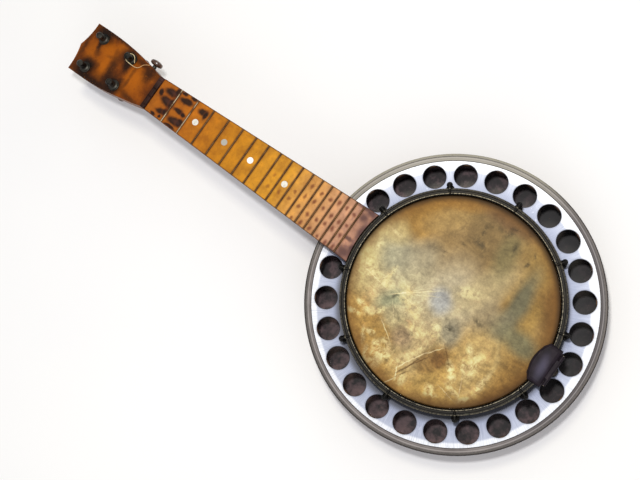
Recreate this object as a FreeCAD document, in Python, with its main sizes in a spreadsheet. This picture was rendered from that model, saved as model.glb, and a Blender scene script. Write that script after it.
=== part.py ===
"""Four-string ukulele banjo with a plate flange and a wooden resonator.

Frame: the origin is the centre of the resonator's flat back, +Z points out
through the skin head, +Y along the neck to the headstock, +X to the treble side.
Lengths are in millimetres and angles in degrees.
"""
import FreeCAD, Part
import math
import os
import Sketcher

Vector = FreeCAD.Vector
Rotation = FreeCAD.Rotation
Placement = FreeCAD.Placement

SIZES = {
    # Resonator
    "resonator_radius": 131.4,
    "back_thick": 5.0,
    "back_round": 3.0,
    "wall_inner": 125.0,
    "purfling_inner": 128.6,
    "binding_inner": 129.4,
    "binding_deep": 5.0,
    "lining_inner": 121.5,
    "lining_deep": 6.0,
    "spacer_radius": 9.0,
    "back_screw_radius": 2.0,
    "back_screw_behind": 36.0,
    # Flange
    "flange_level": 46.0,
    "flange_thick": 1.2,
    "flange_inner": 90.5,
    "flange_outer": 124.7,
    "port_circle": 111.8,
    "port_radius": 10.2,
    "port_count": 24,
    "port_pitch": 14.02,
    "heel_window": 46.0,
    "heel_window_end": 119.5,
    # Rim, head and tension hoop
    "rim_outer": 90.0,
    "rim_inner": 81.0,
    "rim_low": 8.0,
    "rim_high": 64.0,
    "tone_inner": 84.0,
    "tone_high": 67.6,
    "skin_thick": 0.4,
    "skin_level": 68.2,
    "skin_outer": 90.6,
    "flesh_inner": 90.7,
    "flesh_outer": 93.8,
    "flesh_low": 57.0,
    "flesh_high": 60.2,
    "hoop_inner": 91.2,
    "hoop_outer": 96.8,
    "hoop_low": 60.3,
    "hoop_high": 70.0,
    # Hooks, nuts and shoes
    "hook_count": 10,
    "hook_circle": 98.4,
    "hook_rod": 1.4,
    "hook_low": 38.0,
    "hook_ball": 2.7,
    "hook_claw": 1.1,
    "nut_flats": 5.5,
    "nut_tall": 4.0,
    "shoe_radius": 3.6,
    "shoe_low": 46.8,
    "shoe_high": 56.2,
    "bolt_level": 51.5,
    "bolt_radius": 1.7,
    "bolt_head_radius": 3.4,
    "bolt_head_tall": 2.2,
    # Dowel stick and tail end
    "dowel_wide": 14.0,
    "dowel_level": 51.0,
    "stud_radius": 2.1,
    "base_wide": 33.0,
    "base_thick": 0.9,
    "strap_wide": 14.0,
    "strap_inner": 99.4,
    "strap_low": 46.8,
    "end_nut_radius": 4.6,
    "pin_radius": 0.8,
    "pin_behind": 101.6,
    "pin_level": 73.1,
    "knuckle_radius": 1.7,
    "cover_wide": 36.0,
    "cover_front": 81.5,
    "cover_back": 99.6,
    "cover_low": 71.6,
    "cover_high": 76.4,
    "cover_wall": 0.9,
    # Neck, fretboard and headstock
    "scale_length": 347.0,
    "nut_front": 324.5,
    "nut_thick": 5.0,
    "nut_proud": 2.6,
    "string_pitch": 8.4,
    "fret_count": 17,
    "board_low": 66.0,
    "board_high": 71.0,
    "board_end": 92.0,
    "board_wide_nut": 33.6,
    "board_wide_end": 49.4,
    "fret_wide": 1.5,
    "fret_proud": 0.9,
    "tang_wide": 0.6,
    "tang_deep": 1.6,
    "dot_radius": 2.9,
    "dot_deep": 1.4,
    "neck_deep_nut": 15.5,
    "neck_deep_body": 18.5,
    "heel_low": 20.0,
    "head_tilt": 8.0,
    "head_thick": 12.5,
    "head_drop": 0.6,
    "head_long": 92.0,
    "head_corner": 88.4,
    "head_wide": 50.2,
    # Tuners and side peg
    "tuner_far": 73.6,
    "tuner_near": 37.2,
    "tuner_far_side": 15.6,
    "tuner_near_side": 14.5,
    "post_radius": 3.25,
    "post_tall": 12.0,
    "shank_radius": 2.5,
    "bushing_radius": 5.2,
    "sleeve_radius": 4.3,
    "bore_radius": 3.32,
    "button_across": 4.2,
    "button_along": 8.4,
    "button_tall": 6.6,
    "button_behind": 10.2,
    "peg_along": 17.2,
    "peg_edge": 20.4,
    "peg_stem": 2.0,
    "string_radius": 0.35,
}

# Clearance between turned parts and their bores.
RUNNING_FIT = 0.05

# Spaces between frets that carry an inlaid dot, counted from the nut.
DOT_SPACES = (3, 5, 7, 10)

doc = FreeCAD.newDocument("ukulele_banjo")
sheet = doc.addObject("Spreadsheet::Sheet", "Sizes")
for row, (alias, number) in enumerate(SIZES.items(), start=1):
    sheet.set("A%d" % row, alias)
    sheet.set("B%d" % row, str(number))
    sheet.setAlias("B%d" % row, alias)
doc.recompute()

parts = []


# ---------------------------------------------------------------- helpers
def words(expression):
    """Split a sum such as 'rim_outer + 0.5' into signed words."""
    sign = 1
    found = []
    for word in expression.split():
        if word in "+-":
            sign = -1 if word == "-" else 1
        else:
            found.append((sign, word))
    return found


def amount(expression):
    """The value of a sum of sheet names and plain numbers."""
    return sum(sign * float(SIZES.get(word, word)) for sign, word in words(expression))


def bound(expression):
    """The same sum as an expression that reads the sheet."""
    terms = []
    for sign, word in words(expression):
        name = "Sizes." + word if word in SIZES else word
        terms.append("%s%s" % ("-" if sign < 0 else "+", name))
    return "0" + "".join(terms)


def bind(thing, **sizes):
    """Bind properties of an object to sums of sheet names."""
    for name, expression in sizes.items():
        thing.setExpression(name, bound(expression))
    return thing


def place(x=0.0, y=0.0, z=0.0, axis=Vector(0, 0, 1), angle=0.0):
    return Placement(Vector(x, y, z), Rotation(axis, angle))


def part(thing, label, placement=None):
    """Register an object as a sub-part under its own label."""
    thing.Label = label
    if placement is not None:
        thing.Placement = placement
    parts.append(thing)
    return thing


def origin_plane(body, role):
    return next(f for f in body.Origin.OriginFeatures if f.Role == role)


def sketch_in(body, name, role):
    sketch = body.newObject("Sketcher::SketchObject", name)
    sketch.AttachmentSupport = [(origin_plane(body, role), "")]
    sketch.MapMode = "FlatFace"
    return sketch


def pin_point(sketch, edge, end, across, up):
    """Hold one point of a sketch at distances that come from the sheet."""
    for kind, expression in (("DistanceX", across), ("DistanceY", up)):
        index = sketch.addConstraint(
            Sketcher.Constraint(kind, -1, 1, edge, end, amount(expression)))
        sketch.setExpression("Constraints[%d]" % index, bound(expression))


def outline(sketch, points):
    """A closed outline of straight edges through points given as sums."""
    spots = [Vector(amount(a), amount(b), 0) for a, b in points]
    edges = [Part.LineSegment(spots[i - 1], spots[i]) for i in range(len(spots))]
    sketch.addGeometry(edges, False)
    for i, (across, up) in enumerate(points):
        sketch.addConstraint(Sketcher.Constraint("Coincident", i, 2, (i + 1) % len(points), 1))
        pin_point(sketch, i, 2, across, up)


def circle(sketch, radius, across="0", up="0"):
    centre = Vector(amount(across), amount(up), 0)
    edge = sketch.addGeometry(Part.Circle(centre, Vector(0, 0, 1), amount(radius)), False)
    index = sketch.addConstraint(Sketcher.Constraint("Radius", edge, amount(radius)))
    sketch.setExpression("Constraints[%d]" % index, bound(radius))
    pin_point(sketch, edge, 3, across, up)


def turned(label, points, placement=None):
    """A body turned about its own Z axis from a half outline (radius, height)."""
    body = doc.addObject("PartDesign::Body", label)
    sketch = sketch_in(body, label + "_outline", "XZ_Plane")
    outline(sketch, points)
    turn = body.newObject("PartDesign::Revolution", label + "_turn")
    turn.Profile = sketch
    turn.ReferenceAxis = (sketch, ["V_Axis"])
    turn.Angle = 360
    doc.recompute()
    return part(body, label, placement)


def ring(label, inner, outer, low, high):
    """A plain ring between two radii and two levels."""
    corners = ((inner, low), (outer, low), (outer, high), (inner, high))
    return turned(label, corners)


def rounded(body, radius, wanted):
    """Round the edges of a body whose Z level passes the test."""
    feature = body.Tip
    names = []
    for number, edge in enumerate(feature.Shape.Edges, start=1):
        if wanted(edge.BoundBox):
            names.append("Edge%d" % number)
    fillet = body.newObject("PartDesign::Fillet", body.Label + "_round")
    fillet.Base = (feature, names)
    fillet.Radius = radius
    body.Tip = fillet
    doc.recompute()


def cylinder(name, radius, height, placement=None):
    solid = bind(doc.addObject("Part::Cylinder", name), Radius=radius, Height=height)
    if placement is not None:
        solid.Placement = placement
    return solid


def box(name, length, width, height, placement=None):
    solid = bind(doc.addObject("Part::Box", name), Length=length, Width=width, Height=height)
    if placement is not None:
        solid.Placement = placement
    return solid


def cut(name, base, tools):
    """Cut one or more tools out of a base."""
    for number, tool in enumerate(tools):
        result = doc.addObject("Part::Cut", "%s_cut%d" % (name, number))
        result.Base = base
        result.Tool = tool
        base = result
    return base


def fuse(name, shapes):
    joined = doc.addObject("Part::MultiFuse", name)
    joined.Shapes = shapes
    joined.Refine = True
    return joined


def group(label, solids):
    """A sub-part made of several separate solids."""
    feature = doc.addObject("Part::Feature", label)
    feature.Shape = Part.makeCompound(solids)
    return part(feature, label, Placement())


def around(shape, angles):
    """Copies of a shape turned about the pot's axis."""
    copies = []
    for angle in angles:
        copy = shape.copy()
        copy.rotate(Vector(0, 0, 0), Vector(0, 0, 1), angle)
        copies.append(copy)
    return copies


# Angles of the hooks about the pot, counted from the neck.
hook_step = 360.0 / SIZES["hook_count"]
hook_angles = [hook_step * (index + 0.5) for index in range(SIZES["hook_count"])]


# -------------------------------------------------------------- resonator
def make_resonator():
    screw_y = -SIZES["back_screw_behind"]
    back = turned("back_panel", (
        ("0", "0"),
        ("resonator_radius", "0"),
        ("resonator_radius", "back_thick"),
        ("0", "back_thick"),
    ))
    rounded(back, SIZES["back_round"],
            lambda edge: edge.ZMax < 0.01 and edge.XLength > 100)
    parts.remove(back)
    recess = cylinder("screw_recess", "back_screw_radius + 2.7", "2.2", place(y=screw_y))
    bore = cylinder("screw_bore", "back_screw_radius + 0.2", "back_thick + 1", place(y=screw_y))
    part(cut("recessed_back", back, [recess, bore]), "resonator_back")

    turned("resonator_side", (
        ("wall_inner", "back_thick"),
        ("resonator_radius", "back_thick"),
        ("resonator_radius", "flange_level - binding_deep"),
        ("purfling_inner", "flange_level - binding_deep"),
        ("purfling_inner", "flange_level"),
        ("wall_inner", "flange_level"),
    ))
    ring("resonator_purfling", "purfling_inner", "binding_inner",
         "flange_level - binding_deep", "flange_level + 0.05")
    binding = ring("resonator_binding", "binding_inner", "resonator_radius",
                   "flange_level - binding_deep", "flange_level + 0.1")
    rounded(binding, 0.8,
            lambda edge: edge.ZMin > SIZES["flange_level"] and edge.XLength > 262)
    ring("resonator_lining", "lining_inner", "wall_inner",
         "flange_level - flange_thick - lining_deep", "flange_level - flange_thick - 0.02")

    turned("resonator_spacer", (
        ("back_screw_radius + 0.2", "back_thick"),
        ("spacer_radius + 3", "back_thick"),
        ("spacer_radius + 3", "back_thick + 2"),
        ("spacer_radius - 1", "back_thick + 6"),
        ("spacer_radius - 1", "dowel_level - 15"),
        ("spacer_radius", "dowel_level - 11"),
        ("spacer_radius", "dowel_level - 7.02"),
        ("back_screw_radius + 0.2", "dowel_level - 7.02"),
    ), place(y=screw_y))
    screw = turned("screw_blank", (
        ("0", "0.5"),
        ("back_screw_radius + 1.8", "0.5"),
        ("back_screw_radius + 2.2", "1"),
        ("back_screw_radius + 2.2", "2.15"),
        ("back_screw_radius", "2.15"),
        ("back_screw_radius", "dowel_level + 1"),
        ("back_screw_radius - 1", "dowel_level + 3"),
        ("0", "dowel_level + 3"),
    ))
    parts.remove(screw)
    slot = box("screw_slot", "back_screw_radius + 10", "0.9", "0.9",
               place(-SIZES["back_screw_radius"] - 5, -0.45, 0.3))
    part(cut("slotted_screw", screw, [slot]), "resonator_screw", place(y=screw_y))


# ----------------------------------------------------------------- flange
def make_flange():
    body = doc.addObject("PartDesign::Body", "flange")
    plate = sketch_in(body, "flange_plate", "XY_Plane")
    circle(plate, "flange_outer")
    circle(plate, "flange_inner")
    pad = body.newObject("PartDesign::Pad", "flange_pad")
    pad.Profile = plate
    bind(pad, Length="flange_thick")

    window = sketch_in(body, "heel_window", "XY_Plane")
    half = SIZES["heel_window"] / 2
    outline(window, (
        (str(-half), "flange_inner - 8"),
        (str(half), "flange_inner - 8"),
        (str(half), "heel_window_end"),
        (str(-half), "heel_window_end"),
    ))
    window_cut = body.newObject("PartDesign::Pocket", "heel_window_cut")
    window_cut.Profile = window
    window_cut.Type = "ThroughAll"
    window_cut.Midplane = True

    port = sketch_in(body, "port_outline", "XY_Plane")
    spread = SIZES["port_pitch"] * (SIZES["port_count"] - 1)
    first = math.radians(180 - spread / 2)
    across = SIZES["port_circle"] * math.sin(first)
    up = SIZES["port_circle"] * math.cos(first)
    circle(port, "port_radius", str(across), str(up))
    pocket = body.newObject("PartDesign::Pocket", "port_cut")
    pocket.Profile = port
    pocket.Type = "ThroughAll"
    pocket.Midplane = True
    doc.recompute()
    ports = body.newObject("PartDesign::PolarPattern", "ports")
    ports.Originals = [pocket]
    ports.Axis = (plate, ["N_Axis"])
    ports.Reversed = True
    ports.setExpression("Angle", "Sizes.port_pitch * (Sizes.port_count - 1)")
    ports.setExpression("Occurrences", "Sizes.port_count")
    body.Tip = ports
    doc.recompute()

    top = SIZES["flange_thick"]
    rounded(body, 0.5, lambda edge: abs(edge.ZMin - top) < 0.01
            and abs(edge.XLength - 2 * SIZES["port_radius"]) < 0.1)
    body.Placement = place(z=SIZES["flange_level"] - SIZES["flange_thick"])
    body.Label = "pierced_plate"
    doc.recompute()

    rods = []
    for index, angle in enumerate(hook_angles):
        turn = math.radians(angle)
        spot = place(-SIZES["hook_circle"] * math.sin(turn),
                     SIZES["hook_circle"] * math.cos(turn), SIZES["flange_level"] - 5)
        rods.append(cylinder("rod_hole%d" % index, "hook_rod + 0.3", "10", spot))
    drills = fuse("rod_holes", rods)
    part(cut("drilled_flange", body, [drills]), "flange")


# ---------------------------------------------- rim, head and tension hoop
def make_pot():
    shell = ring("rim_shell", "rim_inner", "rim_outer", "rim_low", "rim_high")
    parts.remove(shell)
    drills = []
    for index, angle in enumerate(hook_angles):
        turn = Rotation(Vector(0, 0, 1), angle)
        spot = Placement(turn.multVec(Vector(0, SIZES["rim_inner"] - 5, SIZES["bolt_level"])),
                         turn.multiply(Rotation(Vector(1, 0, 0), -90)))
        drills.append(cylinder("bolt_hole%d" % index, "bolt_radius + 0.1", "20", spot))
    half = SIZES["dowel_wide"] / 2
    mortise = box("mortise", "dowel_wide + 0.1", "30", "dowel_wide + 0.1",
                  place(-half - 0.05, SIZES["rim_inner"] - 10, SIZES["dowel_level"] - half - 0.05))
    drills.append(mortise)
    drills.append(cylinder("stud_hole", "stud_radius + 0.1", "20",
                           place(0, -SIZES["rim_inner"] + 5, SIZES["dowel_level"],
                                 Vector(1, 0, 0), 90)))
    part(cut("drilled_rim", shell, [fuse("rim_drills", drills)]), "rim")

    turned("tone_ring", (
        ("tone_inner", "rim_high"),
        ("rim_outer", "rim_high"),
        ("rim_outer", "tone_high - 0.9"),
        ("rim_outer - 0.9", "tone_high"),
        ("tone_inner + 1.2", "tone_high"),
        ("tone_inner", "tone_high - 1.4"),
    ))
    turned("head_skin", (
        ("0", "skin_level - skin_thick"),
        ("rim_outer - 0.7", "skin_level - skin_thick"),
        ("rim_outer + 0.15", "skin_level - skin_thick - 0.8"),
        ("rim_outer + 0.15", "flesh_low"),
        ("skin_outer", "flesh_low"),
        ("skin_outer", "skin_level - 0.9"),
        ("skin_outer - 0.9", "skin_level"),
        ("0", "skin_level"),
    ))
    flesh = ring("flesh_hoop", "flesh_inner", "flesh_outer", "flesh_low", "flesh_high")
    rounded(flesh, 0.9, lambda edge: edge.XLength > 187)
    turned("tension_hoop", (
        ("hoop_inner", "hoop_low"),
        ("hoop_outer - 0.6", "hoop_low"),
        ("hoop_outer", "hoop_low + 0.6"),
        ("hoop_outer", "hoop_high - 1.1"),
        ("hoop_outer - 0.5", "hoop_high - 0.3"),
        ("hoop_outer - 1.1", "hoop_high"),
        ("hoop_outer - 2", "hoop_high"),
        ("hoop_outer - 2.4", "hoop_high - 0.7"),
        ("hoop_inner + 1.9", "hoop_high - 0.7"),
        ("hoop_inner + 1.5", "hoop_high - 0.2"),
        ("hoop_inner + 0.6", "hoop_high - 0.2"),
        ("hoop_inner", "hoop_high - 0.9"),
    ))


# ------------------------------------------------- hooks, nuts and shoes
def make_hooks():
    claw_level = SIZES["hoop_high"] + SIZES["hook_claw"] + 0.1
    tip = SIZES["hoop_inner"] + 1.7
    bulb = SIZES["hoop_outer"] + SIZES["hook_ball"] + 0.15
    reach = bulb - tip
    rod = Part.makeCylinder(SIZES["hook_rod"], claw_level - SIZES["hook_low"] - 1.5,
                            Vector(0, SIZES["hook_circle"], SIZES["hook_low"]))
    ball = Part.makeSphere(SIZES["hook_ball"], Vector(0, bulb, claw_level - 2.2))
    claw = Part.makeCylinder(SIZES["hook_claw"], reach, Vector(0, tip, claw_level), Vector(0, 1, 0))
    nose = Part.makeSphere(SIZES["hook_claw"], Vector(0, tip, claw_level))
    elbow = Part.makeSphere(SIZES["hook_claw"] + 0.2, Vector(0, bulb, claw_level - 0.1))
    hook = rod.multiFuse([ball, claw, nose, elbow]).removeSplitter()
    group("hooks", around(hook.Solids[0], hook_angles))

    corner = SIZES["nut_flats"] / math.sqrt(3)
    points = []
    for index in range(7):
        angle = math.radians(60 * index + 30)
        points.append(Vector(corner * math.cos(angle), corner * math.sin(angle), 0))
    hexagon = Part.Face(Part.makePolygon(points)).extrude(Vector(0, 0, SIZES["nut_tall"]))
    nut = hexagon.cut(Part.makeCylinder(SIZES["hook_rod"] + RUNNING_FIT, 10))
    nut_high = SIZES["flange_level"] - SIZES["flange_thick"] - 0.05
    nut.translate(Vector(0, SIZES["hook_circle"], nut_high - SIZES["nut_tall"]))
    group("hook_nuts", around(nut, hook_angles))

    tall = SIZES["shoe_high"] - SIZES["shoe_low"]
    barrel = Part.makeCylinder(SIZES["shoe_radius"], tall,
                               Vector(0, SIZES["hook_circle"], SIZES["shoe_low"]))
    barrel = barrel.makeFillet(1.2, [e for e in barrel.Edges if e.BoundBox.ZLength < 0.01])
    foot = Part.makeCylinder(SIZES["shoe_radius"] - 0.6, SIZES["hook_circle"] - SIZES["rim_outer"],
                             Vector(0, SIZES["rim_outer"] + 0.05, SIZES["bolt_level"]),
                             Vector(0, 1, 0))
    rod_hole = Part.makeCylinder(SIZES["hook_rod"] + 0.15, 30,
                                 Vector(0, SIZES["hook_circle"], SIZES["shoe_low"] - 5))
    bolt_hole = Part.makeCylinder(SIZES["bolt_radius"] + RUNNING_FIT, 6,
                                  Vector(0, SIZES["rim_outer"], SIZES["bolt_level"]),
                                  Vector(0, 1, 0))
    shoe = barrel.fuse(foot).cut(rod_hole).cut(bolt_hole).removeSplitter()
    group("shoes", around(shoe.Solids[0], hook_angles))

    shank_start = SIZES["rim_inner"] - 0.15
    shank = Part.makeCylinder(SIZES["bolt_radius"], 13.0,
                              Vector(0, shank_start, SIZES["bolt_level"]), Vector(0, 1, 0))
    head_start = shank_start - SIZES["bolt_head_tall"]
    head = Part.makeCylinder(SIZES["bolt_head_radius"], SIZES["bolt_head_tall"],
                             Vector(0, head_start, SIZES["bolt_level"]), Vector(0, 1, 0))
    head = head.makeFillet(1.4, [e for e in head.Edges if e.BoundBox.YMax < head_start + 0.1])
    bolt = shank.fuse(head).removeSplitter()
    group("shoe_bolts", around(bolt.Solids[0], hook_angles))


# ------------------------------------------- dowel stick, tail and its cover
def make_dowel():
    half = SIZES["dowel_wide"] / 2
    stick = box("dowel_blank", "dowel_wide", "rim_inner + rim_outer - 0.7", "dowel_wide",
                place(-half, -SIZES["rim_inner"] + 0.4, SIZES["dowel_level"] - half))
    stud_hole = cylinder("dowel_stud_hole", "stud_radius + 0.05", "20",
                         place(0, -SIZES["rim_inner"] + 19, SIZES["dowel_level"],
                               Vector(1, 0, 0), 90))
    screw_hole = cylinder("dowel_screw_hole", "back_screw_radius + 0.05", "12",
                          place(y=-SIZES["back_screw_behind"], z=SIZES["dowel_level"] - 8))
    part(cut("drilled_dowel", stick, [stud_hole, screw_hole]), "dowel_stick")

    tail = Placement(Vector(0, 0, SIZES["dowel_level"]), Rotation(Vector(1, 0, 0), 90))
    turned("end_bolt", (
        ("0", "rim_inner - 17"),
        ("stud_radius", "rim_inner - 17"),
        ("stud_radius", "strap_inner + 4"),
        ("0", "strap_inner + 4"),
    ), tail)
    turned("end_nut", (
        ("stud_radius + 0.05", "strap_inner + base_thick + 0.05"),
        ("end_nut_radius", "strap_inner + base_thick + 0.05"),
        ("end_nut_radius", "strap_inner + base_thick + 2.6"),
        ("end_nut_radius - 0.6", "strap_inner + base_thick + 4.6"),
        ("2.4", "strap_inner + base_thick + 6"),
        ("0", "strap_inner + base_thick + 6.4"),
        ("0", "strap_inner + base_thick + 4"),
        ("stud_radius + 0.05", "strap_inner + base_thick + 4"),
    ), tail)


def barrel_along_x(radius, start, end, y, z):
    return Part.makeCylinder(radius, end - start, Vector(start, y, z), Vector(1, 0, 0))


def make_tailpiece():
    pin_y = -SIZES["pin_behind"]
    pin_z = SIZES["pin_level"]
    half = SIZES["base_wide"] / 2
    plate_low = SIZES["hoop_high"] + 0.3
    plate_high = plate_low + SIZES["base_thick"]
    strap_back = -SIZES["strap_inner"] - SIZES["base_thick"]
    front = -SIZES["cover_front"] - 2.0

    plate = Part.makeBox(SIZES["base_wide"], front - strap_back, SIZES["base_thick"],
                         Vector(-half, strap_back, plate_low))
    corners = [e for e in plate.Edges
               if e.BoundBox.ZLength > 0.5 and e.BoundBox.YMin > front - 0.1]
    plate = plate.makeFillet(6.0, corners)
    strap_low = SIZES["strap_low"]
    strap = Part.makeBox(SIZES["strap_wide"], SIZES["base_thick"], plate_high - strap_low,
                         Vector(-SIZES["strap_wide"] / 2, strap_back, strap_low))
    hole = Part.makeCylinder(SIZES["stud_radius"] + 0.1, 10,
                             Vector(0, strap_back - 5, SIZES["dowel_level"]), Vector(0, 1, 0))
    base = plate.fuse(strap).cut(hole)
    knuckle_end = half - 2.0
    for start in (-knuckle_end, 9.0):
        end = start + knuckle_end - 9.0
        base = base.fuse(barrel_along_x(SIZES["knuckle_radius"], start, end, pin_y, pin_z))
        leaf = Part.makeBox(end - start, 2.1, 1.6, Vector(start, strap_back - 1.9, plate_low))
        base = base.fuse(leaf)
    base = base.cut(barrel_along_x(SIZES["pin_radius"] + 0.01, -40, 40, pin_y, pin_z))
    for x in (-10.5, -3.5, 3.5, 10.5):
        prong = Part.makeCylinder(0.9, 2.4, Vector(x, -93.5, plate_high))
        base = base.fuse(prong)
    base_part = doc.addObject("Part::Feature", "tailpiece_base")
    base_part.Shape = base.removeSplitter().Solids[0]
    part(base_part, "tailpiece_base", Placement())

    part(cylinder("tailpiece_pin", "pin_radius", str(2 * knuckle_end + 1.0)), "tailpiece_pin",
         place(-knuckle_end - 0.5, pin_y, pin_z, Vector(0, 1, 0), 90))

    outer = cover_shell(0.0)
    inner = cover_shell(SIZES["cover_wall"])
    knuckle = barrel_along_x(SIZES["knuckle_radius"], -8.8, 8.8, pin_y, pin_z)
    leaf = Part.makeBox(17.6, 2.6, 1.0, Vector(-8.8, pin_y, pin_z + SIZES["knuckle_radius"] - 1.0))
    cover = outer.cut(inner).fuse([knuckle, leaf])
    cover = cover.cut(barrel_along_x(SIZES["pin_radius"] + RUNNING_FIT, -40, 40, pin_y, pin_z))
    for start in (-20.0, 8.8):
        knuckle_room = barrel_along_x(SIZES["knuckle_radius"] + 0.35, start, start + 11.2,
                                      pin_y, pin_z)
        cover = cover.cut(knuckle_room)
    cover_part = doc.addObject("Part::Feature", "tailpiece_cover")
    cover_part.Shape = cover.removeSplitter().Solids[0]
    part(cover_part, "tailpiece_cover", Placement())


def cover_shell(inset):
    """The domed outside of the cover, drawn in by inset all round."""
    half = SIZES["cover_wide"] / 2 - inset
    back = -SIZES["cover_back"] + inset
    front = -SIZES["cover_front"] - inset
    shoulder = front - 6.0
    low = SIZES["cover_low"] - (1.0 if inset else 0.0)
    high = SIZES["cover_high"] - inset
    wires = []
    for level, draw in ((low, 0.0), (high - 1.8, 0.5), (high - 0.4, 1.8), (high, 3.6)):
        x = half - draw
        y_back = back + draw
        y_front = front - draw
        y_shoulder = shoulder - draw * 0.4
        corners = [Vector(-x, y_back, level), Vector(x, y_back, level),
                   Vector(x, y_shoulder, level), Vector(-x, y_shoulder, level)]
        bow = Part.Arc(corners[2], Vector(0, y_front, level), corners[3])
        edges = [Part.makeLine(corners[0], corners[1]), Part.makeLine(corners[1], corners[2]),
                 bow.toShape(), Part.makeLine(corners[3], corners[0])]
        wires.append(Part.Wire(edges))
    return Part.makeLoft(wires, True, True)


# ------------------------------------------------ neck, fretboard, headstock
def board_half(y):
    """Half the fretboard's width at a place along the neck."""
    share = (SIZES["nut_front"] - y) / (SIZES["nut_front"] - SIZES["board_end"])
    wide = SIZES["board_wide_nut"] + share * (SIZES["board_wide_end"] - SIZES["board_wide_nut"])
    return wide / 2


def shaft_section(y, half, top, deep):
    """A U-shaped cross-section of the neck: short straight sides, oval back."""
    side = 2.0
    left = Vector(-half, y, top)
    right = Vector(half, y, top)
    left_low = Vector(-half, y, top - side)
    right_low = Vector(half, y, top - side)
    bottom = Vector(0, y, top - deep)
    belly = Part.BSplineCurve()
    lean = 0.72
    flank_drop = side + (deep - side) * lean
    belly.interpolate([right_low, Vector(half * lean, y, top - flank_drop), bottom,
                       Vector(-half * lean, y, top - flank_drop), left_low])
    return Part.Wire([Part.makeLine(left_low, left), Part.makeLine(left, right),
                      Part.makeLine(right, right_low), belly.toShape()])


def head_frame():
    """Placement of the headstock: X across, Y along its face, Z out of its face."""
    start = SIZES["nut_front"] + SIZES["nut_thick"]
    level = SIZES["board_low"] - SIZES["head_drop"]
    return Placement(Vector(0, start, level), Rotation(Vector(1, 0, 0), -SIZES["head_tilt"]))


def head_outline():
    """Headstock outline: ogee sides, square far corners and a pointed crest."""
    wide = SIZES["head_wide"] / 2
    neck_half = SIZES["board_wide_nut"] / 2 - 0.6
    corner = SIZES["head_corner"]

    def flank(side):
        curve = Part.BSplineCurve()
        curve.interpolate([Vector(side * neck_half, -4, 0), Vector(side * neck_half, 1.5, 0),
                           Vector(side * (neck_half + 1.4), 8, 0), Vector(side * 20.7, 25, 0),
                           Vector(side * 23.6, 43, 0), Vector(side * wide, 64, 0),
                           Vector(side * (wide + 0.1), corner, 0)])
        return curve.toShape()

    crest = Vector(0, SIZES["head_long"], 0)
    edges = [flank(1)]
    for side in (1, -1):
        outer = Vector(side * (wide + 0.1), corner, 0)
        dip = Vector(side * wide * 0.5, corner + 0.6, 0)
        edges.append(Part.Arc(outer, dip, crest).toShape())
    edges.append(flank(-1))
    edges.append(Part.makeLine(Vector(-neck_half, -4, 0), Vector(neck_half, -4, 0)))
    return Part.Wire(Part.__sortEdges__(edges))


def tuner_places():
    """Where the four posts stand on the headstock, as (name, across, along)."""
    far = SIZES["tuner_far"]
    near = SIZES["tuner_near"]
    return (
        ("tuner_1", -SIZES["tuner_far_side"], far),
        ("tuner_2", SIZES["tuner_far_side"], far),
        ("tuner_3", -SIZES["tuner_near_side"], near),
        ("tuner_4", SIZES["tuner_near_side"], near),
    )


def pot_cutter(radius_low, radius_high, step_level):
    """What the pot takes out of the neck: a stepped drum."""
    low = Part.makeCylinder(radius_low, step_level, Vector(0, 0, 0))
    high = Part.makeCylinder(radius_high, 60, Vector(0, 0, step_level))
    return low.fuse(high)


def make_heel(top):
    """The heel: a side profile swept across, trimmed to a tapering section."""
    low = SIZES["heel_low"]
    near = SIZES["rim_outer"] - 10
    body_end = SIZES["heel_window_end"] - 1.6
    shaft_low = top - SIZES["neck_deep_body"]
    curve = Part.Arc(Vector(0, near + 22, low), Vector(0, body_end - 6.5, low + 11),
                     Vector(0, body_end, shaft_low))
    profile = Part.Wire([
        Part.makeLine(Vector(0, near, top), Vector(0, near, low)),
        Part.makeLine(Vector(0, near, low), Vector(0, near + 22, low)),
        curve.toShape(),
        Part.makeLine(Vector(0, body_end, shaft_low), Vector(0, body_end, top)),
        Part.makeLine(Vector(0, body_end, top), Vector(0, near, top)),
    ])
    slab = Part.Face(profile).extrude(Vector(80, 0, 0))
    slab.translate(Vector(-40, 0, 0))
    wide = SIZES["heel_window"] / 2 - 0.6
    flank = Part.BSplineCurve()
    flank.interpolate([
        Vector(wide + 0.8, near, top), Vector(wide, near, SIZES["flange_level"]),
        Vector(wide * 0.72, near, low + 9), Vector(wide * 0.45, near, low + 1.4),
        Vector(0, near, low), Vector(-wide * 0.45, near, low + 1.4),
        Vector(-wide * 0.72, near, low + 9), Vector(-wide, near, SIZES["flange_level"]),
        Vector(-wide - 0.8, near, top),
    ])
    lid = Part.makeLine(Vector(-wide - 0.8, near, top), Vector(wide + 0.8, near, top))
    section = Part.Face(Part.Wire([flank.toShape(), lid])).extrude(Vector(0, 60, 0))
    return slab.common(section)


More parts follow.
